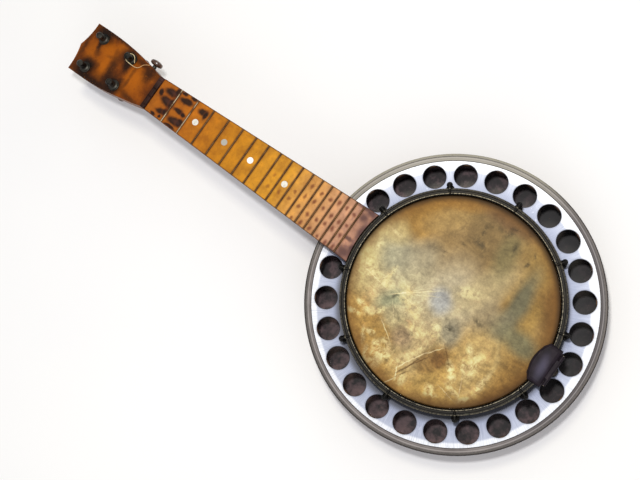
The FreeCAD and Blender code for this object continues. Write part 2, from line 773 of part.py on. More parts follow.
def make_neck():
    top = SIZES["board_low"]
    nut_back = SIZES["nut_front"] + SIZES["nut_thick"]
    deep_nut = SIZES["neck_deep_nut"]
    deep_body = SIZES["neck_deep_body"]
    stations = ((SIZES["board_end"] - 4, deep_body), (160.0, deep_body - 0.6),
                (245.0, deep_nut + 0.8), (nut_back, deep_nut))
    wires = [shaft_section(y, board_half(y), top, deep) for y, deep in stations]
    shaft = Part.makeLoft(wires, True)

    frame = head_frame()
    blank = Part.Face(head_outline()).extrude(Vector(0, 0, -SIZES["head_thick"]))
    blank.Placement = frame
    behind = Part.makeBox(80, 40, 80, Vector(-40, nut_back - 41, 20))
    blank = blank.cut(behind)
    volute_start = nut_back - 8.0
    volute_end = nut_back + 20.0
    volute = Part.makeLoft([
        shaft_section(volute_start, board_half(volute_start) - 0.2, top - 1.2, deep_nut - 1.3),
        shaft_section(volute_end, board_half(nut_back) - 1.5, top - SIZES["head_drop"] - 4.0,
                      SIZES["head_thick"] - 2.2),
    ], True)
    neck = shaft.fuse(make_heel(top)).fuse(blank).fuse(volute)

    pot = pot_cutter(SIZES["rim_outer"] + 0.05, SIZES["hoop_outer"] + 0.25,
                     SIZES["flesh_low"] - 0.8)
    neck = neck.cut(pot)
    for _, across, along in tuner_places():
        hole = Part.makeCylinder(SIZES["sleeve_radius"] + 0.05, 40,
                                 Vector(across, along, -30), Vector(0, 0, 1))
        hole.Placement = frame.multiply(hole.Placement)
        neck = neck.cut(hole)
    peg_hole = Part.makeCylinder(SIZES["peg_stem"] + RUNNING_FIT, 15,
                                 Vector(SIZES["peg_edge"] - 11, SIZES["peg_along"],
                                        -SIZES["head_thick"] / 2), Vector(1, 0, 0))
    peg_hole.Placement = frame.multiply(peg_hole.Placement)
    neck = neck.cut(peg_hole)
    neck_part = doc.addObject("Part::Feature", "neck")
    neck_part.Shape = max(neck.Solids, key=lambda solid: solid.Volume)
    part(neck_part, "neck", Placement())


def fret_y(number):
    """Distance along the neck of a fret in equal temperament."""
    return SIZES["nut_front"] - SIZES["scale_length"] * (1 - 2 ** (-number / 12.0))


def make_fretboard():
    body = doc.addObject("PartDesign::Body", "board_blank")
    plan = sketch_in(body, "board_plan", "XY_Plane")
    nut_half = str(SIZES["board_wide_nut"] / 2)
    end_half = str(SIZES["board_wide_end"] / 2)
    outline(plan, (
        ("0 - " + end_half, "board_end"),
        (end_half, "board_end"),
        (nut_half, "nut_front"),
        ("0 - " + nut_half, "nut_front"),
    ))
    pad = body.newObject("PartDesign::Pad", "board_pad")
    pad.Profile = plan
    bind(pad, Length="board_high - board_low")
    doc.recompute()
    long_top = SIZES["board_high"] - SIZES["board_low"]
    rounded(body, 0.7, lambda edge: abs(edge.ZMin - long_top) < 0.01 and edge.YLength > 100)
    body.Placement = place(z=SIZES["board_low"])
    doc.recompute()

    tools = [cylinder("board_end_curve", "hoop_outer + 0.25", "40", place(z=50))]
    for number in range(1, SIZES["fret_count"] + 1):
        y = fret_y(number)
        tools.append(box("fret_slot%d" % number, "80", "tang_wide", "tang_deep + 5",
                         place(-40, y - SIZES["tang_wide"] / 2,
                               SIZES["board_high"] - SIZES["tang_deep"])))
    for index, number in enumerate(DOT_SPACES):
        y = (fret_y(number) + fret_y(number - 1)) / 2
        tools.append(cylinder("dot_hole%d" % index, "dot_radius + 0.02", "dot_deep + 5",
                              place(0, y, SIZES["board_high"] - SIZES["dot_deep"])))
    part(cut("slotted_board", body, [fuse("board_tools", tools)]), "fretboard")

    frets = []
    for number in range(1, SIZES["fret_count"] + 1):
        frets.append(fret(fret_y(number)))
    group("frets", frets)

    dots = []
    for number in DOT_SPACES:
        y = (fret_y(number) + fret_y(number - 1)) / 2
        dots.append(Part.makeCylinder(SIZES["dot_radius"], SIZES["dot_deep"] + 0.06,
                                      Vector(0, y, SIZES["board_high"] - SIZES["dot_deep"])))
    group("position_dots", dots)


def fret(y):
    """One fret: a low crown with rounded shoulders on a straight tang."""
    half = SIZES["fret_wide"] / 2
    tang = SIZES["tang_wide"] / 2
    high = SIZES["board_high"] + 0.02
    low = SIZES["board_high"] - SIZES["tang_deep"]
    crown = Part.Arc(Vector(0, y + half, high + 0.15),
                     Vector(0, y, high + SIZES["fret_proud"]),
                     Vector(0, y - half, high + 0.15)).toShape()
    corners = [(half, high + 0.15), (half, high), (tang, high), (tang, low),
               (-tang, low), (-tang, high), (-half, high), (-half, high + 0.15)]
    spots = [Vector(0, y + across, up) for across, up in corners]
    edges = [Part.makeLine(spots[i], spots[i + 1]) for i in range(len(spots) - 1)]
    wire = Part.Wire(Part.__sortEdges__([crown] + edges))
    long = 2 * board_half(y) - 0.3
    bar = Part.Face(wire).extrude(Vector(long, 0, 0))
    bar.translate(Vector(-long / 2, 0, 0))
    return bar


def make_nut():
    wide = SIZES["board_wide_nut"] - 0.6
    high = SIZES["board_high"] + SIZES["nut_proud"]
    block = Part.makeBox(wide, SIZES["nut_thick"] - 0.02, high - SIZES["board_low"],
                         Vector(-wide / 2, SIZES["nut_front"] + 0.02, SIZES["board_low"]))
    top_edges = [e for e in block.Edges if e.BoundBox.ZMin > high - 0.01]
    block = block.makeFillet(1.5, top_edges)
    for index in range(4):
        x = (index - 1.5) * SIZES["string_pitch"]
        groove = Part.makeCylinder(0.55, 20, Vector(x, SIZES["nut_front"] - 5, high), Vector(0, 1, 0))
        block = block.cut(groove)
    nut = doc.addObject("Part::Feature", "nut")
    nut.Shape = block
    part(nut, "nut", Placement())


# -------------------------------------------------------- tuners, side peg
def head_place(across, along, out=0.0, rotation=Rotation()):
    return head_frame().multiply(Placement(Vector(across, along, out), rotation))


def make_tuner(name, across, along):
    """One friction tuner: post, oval button and the screw that holds them."""
    spot = head_place(across, along)
    rear = SIZES["head_thick"]
    turned(name + "_post_blank", (
        ("1.3", str(-rear - 11.5)),
        ("shank_radius", str(-rear - 11.5)),
        ("shank_radius", str(-rear - 1.3)),
        ("post_radius", str(-rear - 1.3)),
        ("post_radius", "1.3"),
        ("post_radius + 1.1", "1.3"),
        ("post_radius + 1.1", "2.1"),
        ("post_radius - 0.15", "2.9"),
        ("post_radius - 0.5", "8"),
        ("post_radius - 0.5", "post_tall - 3.4"),
        ("post_radius - 0.1", "post_tall - 2.6"),
        ("post_radius - 0.1", "post_tall - 0.8"),
        ("post_radius - 0.9", "post_tall"),
        ("0", "post_tall"),
        ("0", str(-rear - 5.0)),
        ("1.3", str(-rear - 5.0)),
    ))
    blank = parts.pop()
    eye = cylinder(name + "_eye", "0.7", "20",
                   place(0, -10, SIZES["post_tall"] - 4.6, Vector(1, 0, 0), -90))
    part(cut(name + "_post_drilled", blank, [eye]), name + "_post", spot)

    ear = doc.addObject("Part::Ellipsoid", name + "_ear")
    bind(ear, Radius1="button_across", Radius2="button_along", Radius3="button_tall")
    ear.Placement = place(z=-rear - SIZES["button_behind"])
    trim_high = box(name + "_ear_trim", "30", "30", "20", place(-15, -15, -rear - 5.2))
    trim_low = box(name + "_ear_tip", "30", "30", "20", place(-15, -15, -rear - 35.6))
    hub = cylinder(name + "_hub", "4.6", "9.0", place(z=-rear - 10.5))
    ear_flat = cut(name + "_ear_flat", ear, [trim_high, trim_low])
    body = fuse(name + "_button_body", [ear_flat, hub])
    bore = cylinder(name + "_bore", "shank_radius + 0.05", "30", place(z=-rear - 11.75))
    screw_way = cylinder(name + "_screw_way", "1.35", "20", place(z=-rear - 31.6))
    part(cut(name + "_button_bored", body, [bore, screw_way]), name + "_button", spot)

    screw = turned(name + "_screw_blank", (
        ("0", str(-rear - 17.2)),
        ("1.3", str(-rear - 17.2)),
        ("2.1", str(-rear - 16.5)),
        ("2.1", str(-rear - 15.65)),
        ("1.25", str(-rear - 15.65)),
        ("1.25", str(-rear - 5.4)),
        ("0", str(-rear - 5.4)),
    ))
    parts.remove(screw)
    slot = box(name + "_screw_slot", "8", "0.7", "0.7", place(-4, -0.35, -rear - 17.3))
    part(cut(name + "_slotted", screw, [slot]), name + "_screw", spot)


def make_tuner_fittings():
    """Front bushings and rear washers of all four tuners."""
    bushings = []
    washers = []
    bore = Part.makeCylinder(SIZES["bore_radius"], 60, Vector(0, 0, -40))
    for _, across, along in tuner_places():
        spot = head_place(across, along)
        collar = Part.makeCylinder(SIZES["bushing_radius"], 1.15, Vector(0, 0, 0.02))
        collar = collar.makeFillet(0.5, [e for e in collar.Edges if e.BoundBox.ZMin > 1.0])
        sleeve = Part.makeCylinder(SIZES["sleeve_radius"], 8.0, Vector(0, 0, -7.98))
        bushing = collar.fuse(sleeve).cut(bore).removeSplitter()
        bushing.Placement = spot
        bushings.append(bushing)
        washer = Part.makeCylinder(SIZES["bushing_radius"] + 0.2, 1.1,
                                   Vector(0, 0, -SIZES["head_thick"] - 1.12)).cut(bore)
        washer.Placement = spot
        washers.append(washer)
    group("tuner_bushings", bushings)
    group("tuner_washers", washers)


def make_side_peg():
    """The small turned peg in the treble edge of the headstock."""
    spot = head_place(0, SIZES["peg_along"], -SIZES["head_thick"] / 2,
                      Rotation(Vector(0, 1, 0), 90))
    turned("side_peg_stem", (
        ("0", "peg_edge - 10"),
        ("peg_stem - 0.5", "peg_edge - 10"),
        ("peg_stem", "peg_edge - 9"),
        ("peg_stem", "peg_edge + 1"),
        ("peg_stem - 0.5", "peg_edge + 1.5"),
        ("peg_stem - 0.5", "peg_edge + 5"),
        ("0", "peg_edge + 5"),
    ), spot)
    turned("side_peg_knob", (
        ("peg_stem - 0.45", "peg_edge + 1.55"),
        ("3.4", "peg_edge + 1.55"),
        ("5.4", "peg_edge + 2.3"),
        ("6.0", "peg_edge + 3.4"),
        ("6.0", "peg_edge + 4.6"),
        ("5.1", "peg_edge + 5.8"),
        ("2.6", "peg_edge + 6.6"),
        ("0", "peg_edge + 6.8"),
        ("0", "peg_edge + 5.05"),
        ("peg_stem - 0.45", "peg_edge + 5.05"),
    ), spot)


# --------------------------------------------------------- broken string
def string_route():
    """Route of the broken string in the headstock's own frame.

    It hooks round the far side of a post, then crosses the face to the side peg.
    """
    _, across, along = tuner_places()[3]
    loop = SIZES["post_radius"] + SIZES["string_radius"] + 0.8
    route = [Vector(across - 1.6, along - loop - 1.4, 2.9)]
    for angle, rise in ((-72, 3.1), (-27, 3.7), (18, 4.4), (63, 5.0), (108, 5.2), (153, 4.8),
                        (192, 4.0)):
        turn = math.radians(angle)
        route.append(Vector(across + loop * math.cos(turn), along + loop * math.sin(turn), rise))
    peg = SIZES["peg_along"]
    route.extend([
        Vector(across - 4.6, along - 5.6, 2.6),
        Vector(across - 4.2, along - 9.8, 1.4),
        Vector(across - 1.6, along - 12.0, 0.9),
        Vector(across + 1.8, along - 13.4, 0.9),
        Vector(across + 4.0, peg + 2.6, 1.0),
        Vector(across + 4.6, peg + 0.6, 1.3),
    ])
    return route


def make_string():
    """A tube of straight runs joined by tangent arcs along the route."""
    route = string_route()
    radius = SIZES["string_radius"]
    edges = []
    start = route[0]
    for i in range(1, len(route) - 1):
        before = route[i] - route[i - 1]
        after = route[i + 1] - route[i]
        turn = before.getAngle(after)
        bend = 0.45 * min(before.Length, after.Length) / math.tan(turn / 2)
        back = bend * math.tan(turn / 2)
        into = Vector(before).normalize()
        away = Vector(after).normalize()
        first = route[i] - into * back
        last = route[i] + away * back
        inward = (away - into).normalize()
        middle = route[i] + inward * (bend / math.cos(turn / 2) - bend)
        edges.append(Part.LineSegment(start, first).toShape())
        edges.append(Part.Arc(first, middle, last).toShape())
        start = last
        print("string bend radius %.2f at point %d" % (bend, i))
    edges.append(Part.LineSegment(start, route[-1]).toShape())
    path = Part.Wire(edges)
    heading = route[1] - route[0]
    ring_edge = Part.makeCircle(radius, route[0], heading)
    tube = path.makePipeShell([Part.Wire([ring_edge])], True, True)
    expected = math.pi * radius ** 2 * path.Length
    print("string volume %.3f of %.3f, length %.1f" % (tube.Volume, expected, path.Length))
    feature = doc.addObject("Part::Feature", "string_end")
    feature.Shape = tube
    part(feature, "string_end", head_frame())


# ------------------------------------------------------------------ build
def check_and_write():
    doc.recompute()
    for thing in doc.Objects:
        if "Invalid" in thing.State or "Error" in thing.State:
            raise RuntimeError("%s failed to compute" % thing.Label)
    os.makedirs("parts", exist_ok=True)
    for sub in parts:
        shape = sub.Shape
        if shape.isNull() or not shape.isValid() or not shape.Solids:
            raise RuntimeError("%s has no valid solid" % sub.Label)
        shape.exportStep("parts/%s.step" % sub.Label)
        print("%-22s %2d solid(s) %10.1f mm3" % (sub.Label, len(shape.Solids), shape.Volume))


make_resonator()
make_flange()
make_pot()
make_hooks()
make_dowel()
make_tailpiece()
make_neck()
make_fretboard()
make_nut()
for tuner_name, tuner_across, tuner_along in tuner_places():
    make_tuner(tuner_name, tuner_across, tuner_along)
make_tuner_fittings()
make_side_peg()
make_string()
check_and_write()
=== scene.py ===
"""Looks of the ukulele banjo: camera, broken string, floor, lights and finishes.

Frame: metres, origin at the centre of the resonator's flat back, +Z out through
the skin, +Y along the neck, +X to the treble side. Finishes are laid out in
millimetres in the same frame.
"""
import math

import bpy
from mathutils import Matrix, Vector


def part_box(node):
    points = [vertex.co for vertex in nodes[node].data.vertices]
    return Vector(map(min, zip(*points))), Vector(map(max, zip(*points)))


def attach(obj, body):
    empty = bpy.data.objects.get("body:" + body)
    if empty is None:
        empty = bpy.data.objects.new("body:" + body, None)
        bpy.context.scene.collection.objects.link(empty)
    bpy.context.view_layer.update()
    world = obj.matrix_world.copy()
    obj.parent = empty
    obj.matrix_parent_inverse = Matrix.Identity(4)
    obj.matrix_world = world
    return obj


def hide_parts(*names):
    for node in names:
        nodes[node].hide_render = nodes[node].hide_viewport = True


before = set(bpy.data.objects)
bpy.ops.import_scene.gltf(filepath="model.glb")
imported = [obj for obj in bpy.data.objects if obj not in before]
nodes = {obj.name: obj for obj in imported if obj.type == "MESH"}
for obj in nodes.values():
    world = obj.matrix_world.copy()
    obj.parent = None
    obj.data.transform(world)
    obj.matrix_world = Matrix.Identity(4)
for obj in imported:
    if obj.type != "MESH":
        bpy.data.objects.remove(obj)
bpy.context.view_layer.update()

# Places on the part, in millimetres and radians.
NUT_FRONT = 1000.0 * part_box("fretboard")[1].y
SCALE_LENGTH = 347.0
BOARD_END = 92.0
BOARD_HALF_AT_NUT = 16.8
BOARD_TAPER = 0.034
FRET_COUNT = 17
PORT_CIRCLE = 111.8
PORT_PITCH = math.radians(14.02)
FIRST_PORT = math.radians(18.77)
PORT_RADIUS = 10.2
BACK_TOP = 5.0
WALL_INNER = 125.0
WALL_TOP = 46.0
HEAD_TILT = math.radians(8.0)

# The middle of the headstock's face beside the nut, in metres.
HEAD_FACE = Vector((0.0, 0.3295, 0.0654))


# ------------------------------------------------------------------- camera
def make_camera():
    """The camera of the reference view, turned a little about the pot's axis."""
    right = Vector((0.5638, -0.8118, -0.1519))
    up = Vector((0.8258, 0.5516, 0.1171))
    back = Vector((-0.0113, -0.1915, 0.9814))
    eye = (-0.0314, -0.0633, 1.0291)
    turn_about_pot = 0.0145
    axes = Matrix((right, up, back)).transposed().to_4x4()
    data = bpy.data.cameras.new("camera")
    data.sensor_width = 36.0
    data.lens = 63.3
    data.clip_end = 20.0
    camera = bpy.data.objects.new("camera", data)
    turned = Matrix.Rotation(turn_about_pot, 4, "Z")
    camera.matrix_world = turned @ Matrix.Translation(eye) @ axes
    bpy.context.scene.collection.objects.link(camera)
    bpy.context.scene.camera = camera


# ------------------------------------------------------------ material maker
def rgb(red, green, blue):
    """A display colour of 0 to 255 as the linear colour that shaders use."""
    linear = []
    for part in (red, green, blue):
        share = part / 255.0
        if share <= 0.04045:
            linear.append(share / 12.92)
        else:
            linear.append(((share + 0.055) / 1.055) ** 2.4)
    return (linear[0], linear[1], linear[2], 1.0)


class Paint:
    """One procedural material. Every step returns the socket it ends in."""

    def __init__(self, name):
        self.material = bpy.data.materials.new(name)
        self.material.use_nodes = True
        self.tree = self.material.node_tree
        self.shader = self.tree.nodes["Principled BSDF"]
        coordinates = self.tree.nodes.new("ShaderNodeTexCoord")
        self.place = self.vector("SCALE", coordinates.outputs["Object"], scale=1000.0)

    def feed(self, socket, value):
        """Links a socket to another, or gives it a plain value."""
        if isinstance(value, bpy.types.NodeSocket):
            self.tree.links.new(value, socket)
        else:
            socket.default_value = value

    def number(self, operation, first, second=None, clamp=False):
        node = self.tree.nodes.new("ShaderNodeMath")
        node.operation = operation
        node.use_clamp = clamp
        self.feed(node.inputs[0], first)
        if second is not None:
            self.feed(node.inputs[1], second)
        return node.outputs[0]

    def vector(self, operation, first, second=None, scale=None):
        node = self.tree.nodes.new("ShaderNodeVectorMath")
        node.operation = operation
        self.feed(node.inputs[0], first)
        if second is not None:
            self.feed(node.inputs[1], second)
        if scale is not None:
            self.feed(node.inputs["Scale"], scale)
        if operation == "LENGTH":
            return node.outputs["Value"]
        return node.outputs["Vector"]

    def split(self, vector):
        node = self.tree.nodes.new("ShaderNodeSeparateXYZ")
        self.feed(node.inputs[0], vector)
        return node.outputs[0], node.outputs[1], node.outputs[2]

    def radius(self):
        """Distance from the pot's axis."""
        flat = self.vector("MULTIPLY", self.place, (1.0, 1.0, 0.0))
        return self.vector("LENGTH", flat)

    def noise(self, size, detail=3.0, rough=0.55, stretch=None, where=None, bend=0.0):
        """Smooth noise of 0 to 1 whose lumps are about size millimetres."""
        node = self.tree.nodes.new("ShaderNodeTexNoise")
        where = self.place if where is None else where
        if stretch is not None:
            where = self.vector("MULTIPLY", where, stretch)
        self.feed(node.inputs["Vector"], where)
        node.inputs["Scale"].default_value = 1.0 / size
        node.inputs["Detail"].default_value = detail
        node.inputs["Roughness"].default_value = rough
        node.inputs["Distortion"].default_value = bend
        return node.outputs["Fac"]

    def warped(self, size, amount, where=None):
        """The place, pushed about by noise, so that outlines are irregular."""
        where = self.place if where is None else where
        node = self.tree.nodes.new("ShaderNodeTexNoise")
        self.feed(node.inputs["Vector"], where)
        node.inputs["Scale"].default_value = 1.0 / size
        node.inputs["Detail"].default_value = 4.0
        centred = self.vector("SUBTRACT", node.outputs["Color"], (0.5, 0.5, 0.5))
        push = self.vector("SCALE", centred, scale=amount * 2.0)
        return self.vector("ADD", where, push)

    def smooth(self, value, start, end):
        """0 before start and 1 after end, or the other way if start is larger."""
        node = self.tree.nodes.new("ShaderNodeMapRange")
        node.interpolation_type = "SMOOTHSTEP"
        low, high = min(start, end), max(start, end)
        self.feed(node.inputs["Value"], value)
        node.inputs["From Min"].default_value = low
        node.inputs["From Max"].default_value = high
        node.inputs["To Min"].default_value = 0.0 if start < end else 1.0
        node.inputs["To Max"].default_value = 1.0 if start < end else 0.0
        return node.outputs["Result"]

    def between(self, value, low, high, soft):
        """1 where value is between two limits, with soft edges."""
        rise = self.smooth(value, low - soft, low + soft)
        fall = self.smooth(value, high + soft, high - soft)
        return self.number("MULTIPLY", rise, fall)

    def spot(self, x, y, across, along, turn=0.0, soft=0.4, where=None):
        """An oval patch seen from the front: 1 inside and 0 outside."""
        where = self.place if where is None else where
        shifted = self.vector("SUBTRACT", where, (x, y, 0.0))
        if turn:
            node = self.tree.nodes.new("ShaderNodeVectorRotate")
            node.rotation_type = "Z_AXIS"
            self.feed(node.inputs["Vector"], shifted)
            node.inputs["Angle"].default_value = -math.radians(turn)
            shifted = node.outputs["Vector"]
        scaled = self.vector("MULTIPLY", shifted, (1.0 / across, 1.0 / along, 0.0))
        return self.smooth(self.vector("LENGTH", scaled), 1.0 + soft, 1.0 - soft)

    def ramp(self, value, *stops):
        """Colours along a value, given as (position, colour)."""
        node = self.tree.nodes.new("ShaderNodeValToRGB")
        self.feed(node.inputs[0], value)
        elements = node.color_ramp.elements
        while len(elements) < len(stops):
            elements.new(0.5)
        for element, (position, colour) in zip(elements, stops):
            element.position = position
            element.color = colour
        return node.outputs["Color"]

    def mix(self, share, first, second, blend="MIX"):
        """The first colour with a share of the second mixed over it."""
        node = self.tree.nodes.new("ShaderNodeMix")
        node.data_type = "RGBA"
        node.blend_type = blend
        self.feed(node.inputs[0], share)
        self.feed(node.inputs[6], first)
        self.feed(node.inputs[7], second)
        return node.outputs[2]

    def layer(self, colour, mask, strength, over):
        """Lays a colour over another by a mask and a strength."""
        return self.mix(self.number("MULTIPLY", mask, strength, clamp=True), colour, over)

    def blend_value(self, mask, first, second):
        """A number that goes from first to second with the mask."""
        node = self.tree.nodes.new("ShaderNodeMix")
        node.data_type = "FLOAT"
        self.feed(node.inputs[0], mask)
        self.feed(node.inputs[2], first)
        self.feed(node.inputs[3], second)
        return node.outputs[0]

    def facing(self):
        """How far the surface faces forward, out of the skin: -1 to 1."""
        node = self.tree.nodes.new("ShaderNodeNewGeometry")
        return self.split(node.outputs["Normal"])[2]

    def finish(self, colour, rough, bump=None, height=0.2, metal=0.0, **plain):
        """Closes the material. height is the bump's depth in millimetres."""
        self.feed(self.shader.inputs["Base Color"], colour)
        self.feed(self.shader.inputs["Roughness"], rough)
        self.feed(self.shader.inputs["Metallic"], metal)
        for name, value in plain.items():
            self.shader.inputs[name.replace("_", " ")].default_value = value
        if bump is not None:
            node = self.tree.nodes.new("ShaderNodeBump")
            node.inputs["Strength"].default_value = 1.0
            node.inputs["Distance"].default_value = height / 1000.0
            self.feed(node.inputs["Height"], bump)
            self.tree.links.new(node.outputs["Normal"], self.shader.inputs["Normal"])
        return self.material


def dress(material, *names):
    """Gives CAD nodes their finish."""
    for name in names:
        slots = nodes[name].data.materials
        slots.clear()
        slots.append(material)


# ----------------------------------------------------------------- the skin
def skin_finish():
    """Yellowed calfskin: broad stains, cream clouds, smudges, cracks and folds, with a painted sheen and
    a rim in painted shade.
    """
    p = Paint("skin")
    far = p.warped(30.0, 4.0)
    near = p.warped(8.0, 2.6, far)
    cloud = p.noise(13.0, 6.0, 0.62, where=far)
    patch = p.noise(5.0, 6.0, 0.66, where=near)
    fine = p.noise(1.7, 5.0, 0.7)
    colour = p.ramp(p.noise(42.0, 4.0, 0.55, where=far), (0.34, rgb(158, 124, 68)),
                    (0.50, rgb(172, 138, 82)), (0.66, rgb(180, 148, 92)))
    # Broad tone patches: stains, with the pale cream patches across the middle and left standing for a
    # painted sheen.
    regions = (
        (46, 62, 44, 22, -42, rgb(158, 118, 58), 0.85),
        (-32, -78, 50, 15, -4, rgb(136, 102, 54), 0.92),
        (48, -72, 46, 14, 34, rgb(120, 86, 46), 0.85),
        (66, -42, 22, 16, 50, rgb(166, 134, 76), 0.80),
        (22, -62, 18, 8, 8, rgb(150, 120, 66), 0.80),
        (-72, -20, 16, 34, 0, rgb(188, 154, 90), 0.60),
        (60, 6, 34, 34, 0, rgb(132, 109, 74), 0.92),
        (38, 32, 22, 16, -20, rgb(158, 130, 88), 0.70),
        (56, 42, 24, 9, -40, rgb(176, 146, 94), 0.60),
        (-8, 78, 34, 15, 0, rgb(205, 188, 138), 0.90),
        (-16, 34, 26, 30, 20, rgb(202, 192, 158), 0.85),
        (-40, 6, 32, 16, 10, rgb(200, 180, 138), 0.80),
        (2, 2, 30, 26, 30, rgb(188, 176, 150), 0.90),
        (24, -18, 30, 12, -25, rgb(186, 168, 128), 0.85),
        (-30, -44, 34, 16, 8, rgb(188, 160, 108), 0.85),
        (-62, 56, 26, 14, 48, rgb(174, 138, 78), 0.70),
        (6, 60, 17, 15, 0, rgb(168, 164, 142), 0.85),
        (14, 42, 17, 13, -20, rgb(166, 156, 132), 0.80),
        (22, 72, 10, 10, 0, rgb(204, 184, 130), 0.60),
        (-28, 44, 13, 7, -35, rgb(148, 150, 124), 0.85),
        (-42, 33, 11, 9, 50, rgb(160, 150, 120), 0.60),
        (30, -48, 30, 8, 4, rgb(110, 106, 84), 0.95),
        (6, -44, 12, 10, 0, rgb(134, 126, 102), 0.80),
        (2, -66, 10, 18, -4, rgb(118, 114, 88), 0.90),
        (8, -30, 16, 8, 0, rgb(154, 140, 114), 0.70),
        (58, -16, 20, 9, 15, rgb(122, 112, 78), 0.75),
        (-24, -14, 12, 9, 20, rgb(146, 138, 120), 0.88),
        (-50, 17, 9, 9, 20, rgb(152, 128, 104), 0.80),
        (-6, 8, 10, 9, 30, rgb(170, 170, 172), 0.95),
        (-57, 36, 7, 7, 40, rgb(146, 114, 62), 0.85),
        (-50, 46, 5, 7, 20, rgb(160, 124, 68), 0.70),
        (82, -4, 7, 26, 0, rgb(118, 88, 62), 0.70),
        (74, 40, 6, 20, 22, rgb(170, 126, 62), 0.65),
    )
    for x, y, across, along, turn, tint, strength in regions:
        mask = p.spot(x, y, across, along, turn, 0.60, far)
        colour = p.layer(colour, mask, strength, tint)

    # A brown flap with a darker patch, and the curved edge of a pale stain.
    flap_low = p.spot(-52, -14, 15, 9, -30, 0.35, near)
    colour = p.layer(colour, flap_low, 0.80, rgb(142, 108, 62))
    colour = p.layer(colour, p.spot(-46, -19, 7, 6, -20, 0.5, near), 0.75, rgb(122, 86, 48))
    stain_edge = p.between(p.vector("LENGTH", p.vector("SUBTRACT", near, (-34.0, -22.0, 68.2))),
                           37.0, 40.0, 2.0)
    low_left = p.smooth(p.split(near)[1], -44.0, -54.0)
    colour = p.layer(colour, p.number("MULTIPLY", stain_edge, low_left), 0.45, rgb(206, 182, 128))

    blotches = (
        (-55, 66, 1.8, 6, 8), (-44, 63, 2.4, 3, 0), (-47, 54, 4.4, 3.2, -40), (-42, 48, 3.0, 5, 24),
        (-68, 47, 6, 1.8, 30), (-62, 42, 1.6, 4, 0), (-79, 36, 5, 2, 34), (-75, 27, 9, 4, 30),
        (-66, 32, 3.4, 2.2, -40), (-62, 25, 2, 4, -20), (-70, 20, 8, 4, -20), (-18, 70, 4, 7, 0),
        (-13, 84, 2, 6, -14), (-20, 56, 3, 6, 10), (-12, 57, 7, 2.6, -8), (-22, 30, 3, 10, 0),
        (-14, 36, 5, 5, 0), (-39, 14, 3.4, 9, -6), (-28, 22, 2.4, 6, 0), (-72, -27, 3.4, 3.4, 0),
        (-76, -30, 2, 5, 30), (-48, -30, 6, 2, 38), (-54, -36, 3.4, 2.4, 20), (-41, -38, 5, 1.8, 40),
        (-62, -42, 2, 6, -20), (-36, -45, 10, 5, 0), (-44, -60, 10, 2.0, -6), (-64, -54, 5, 2, -40),
        (-58, 4, 14, 3, -26), (-30, -2, 8, 4, 20), (14, -8, 4, 9, 24), (21, 72, 1.4, 5, 0),
        (4, 78, 5, 1.8, 0), (-84, 30, 2.6, 5, 0), (-80, -2, 4, 4, 0), (-26, -36, 5, 3, 30),
    )
    for x, y, across, along, turn in blotches:
        mask = p.number("MULTIPLY", p.spot(x, y, across, along, turn, 0.9, near),
                        p.smooth(patch, 0.34, 0.56))
        colour = p.layer(colour, mask, 0.80, rgb(228, 212, 160))

    smudges = (
        (54, 8, 2.2, 6, -28, 0.7), (64, 10, 5.6, 1.4, 16, 0.75), (47, -1, 1.6, 4, 0, 0.4),
        (74, -6, 2.0, 4.4, 10, 0.6), (80, -9, 1.6, 4.4, 10, 0.7), (66, -18, 5, 1.8, 14, 0.6),
        (82, -22, 2, 4, 0, 0.6), (-21, -11, 2.6, 4.2, 14, 0.8), (-2, -28, 2.4, 4.2, 0, 0.7),
        (60, -35, 1.8, 1.4, 0, 0.8), (69, -36, 3, 1.0, 4, 0.7), (30, 28, 2.4, 1.8, 0, 0.6),
        (-26, 44, 3.0, 1.6, -30, 0.6), (45, 20, 2, 1.8, 0, 0.5), (-50, 21, 3, 1.6, 40, 0.4),
        (-44, 14, 2, 3.4, 0, 0.4), (4, 9, 1.4, 3, 0, 0.35), (30, 38, 3, 6, 20, 0.3),
        (56, 30, 8, 3, -20, 0.3), (-74, 16, 3, 1.8, 30, 0.5), (-38, 30, 5, 0.8, 50, 0.4),
        (72, 5, 2, 8, 0, 0.3), (48, -40, 6, 1.4, -50, 0.3), (34, -44, 4, 1.6, 50, 0.3),
    )
    for x, y, across, along, turn, strength in smudges:
        mask = p.number("MULTIPLY", p.spot(x, y, across, along, turn, 1.0, near),
                        p.smooth(patch, 0.66, 0.42))
        colour = p.layer(colour, mask, strength, rgb(64, 58, 46))

    jag = p.warped(3.0, 1.0)
    cracks = (
        (-86, 5.2, 5.5, 0.42, -28, 0.9), (-77, 4.4, 5.0, 0.50, 24, 0.9),
        (-67, 3.0, 7.0, 0.44, -26, 0.9), (-55, -3.5, 7.5, 0.42, -30, 0.8),
        (-44, -11.5, 7.5, 0.36, -38, 0.7), (-13, 31, 19, 0.50, -52, 0.75),
        (-16, 36, 15, 0.34, -46, 0.7), (-10, 22, 12, 0.30, -60, 0.6), (-21, 31, 13, 0.5, 86, 0.5),
        (-53, 32, 9, 0.36, 56, 0.6), (-36, 36, 8, 0.30, 40, 0.5), (-21, 66, 12, 0.34, 80, 0.6),
        (-14, 58, 9, 0.34, -18, 0.5), (-67, -40, 8, 0.30, 78, 0.5), (-56, -47, 9, 0.30, 24, 0.5),
    )
    for x, y, along, across, turn, strength in cracks:
        mask = p.spot(x, y, along, across, turn, 0.8, jag)
        colour = p.layer(colour, mask, strength, rgb(238, 224, 182))
    folds = ((-70, 0.4, 9, 0.7, -26), (-62, -3.0, 7, 0.6, -20), (-75, -0.6, 6, 0.5, -32),
             (-57, -7.0, 8, 0.5, -30), (-40, -22.0, 8, 0.5, 46))
    for x, y, along, across, turn in folds:
        mask = p.spot(x, y, along, across, turn, 0.8, jag)
        colour = p.layer(colour, mask, 0.70, rgb(98, 66, 34))

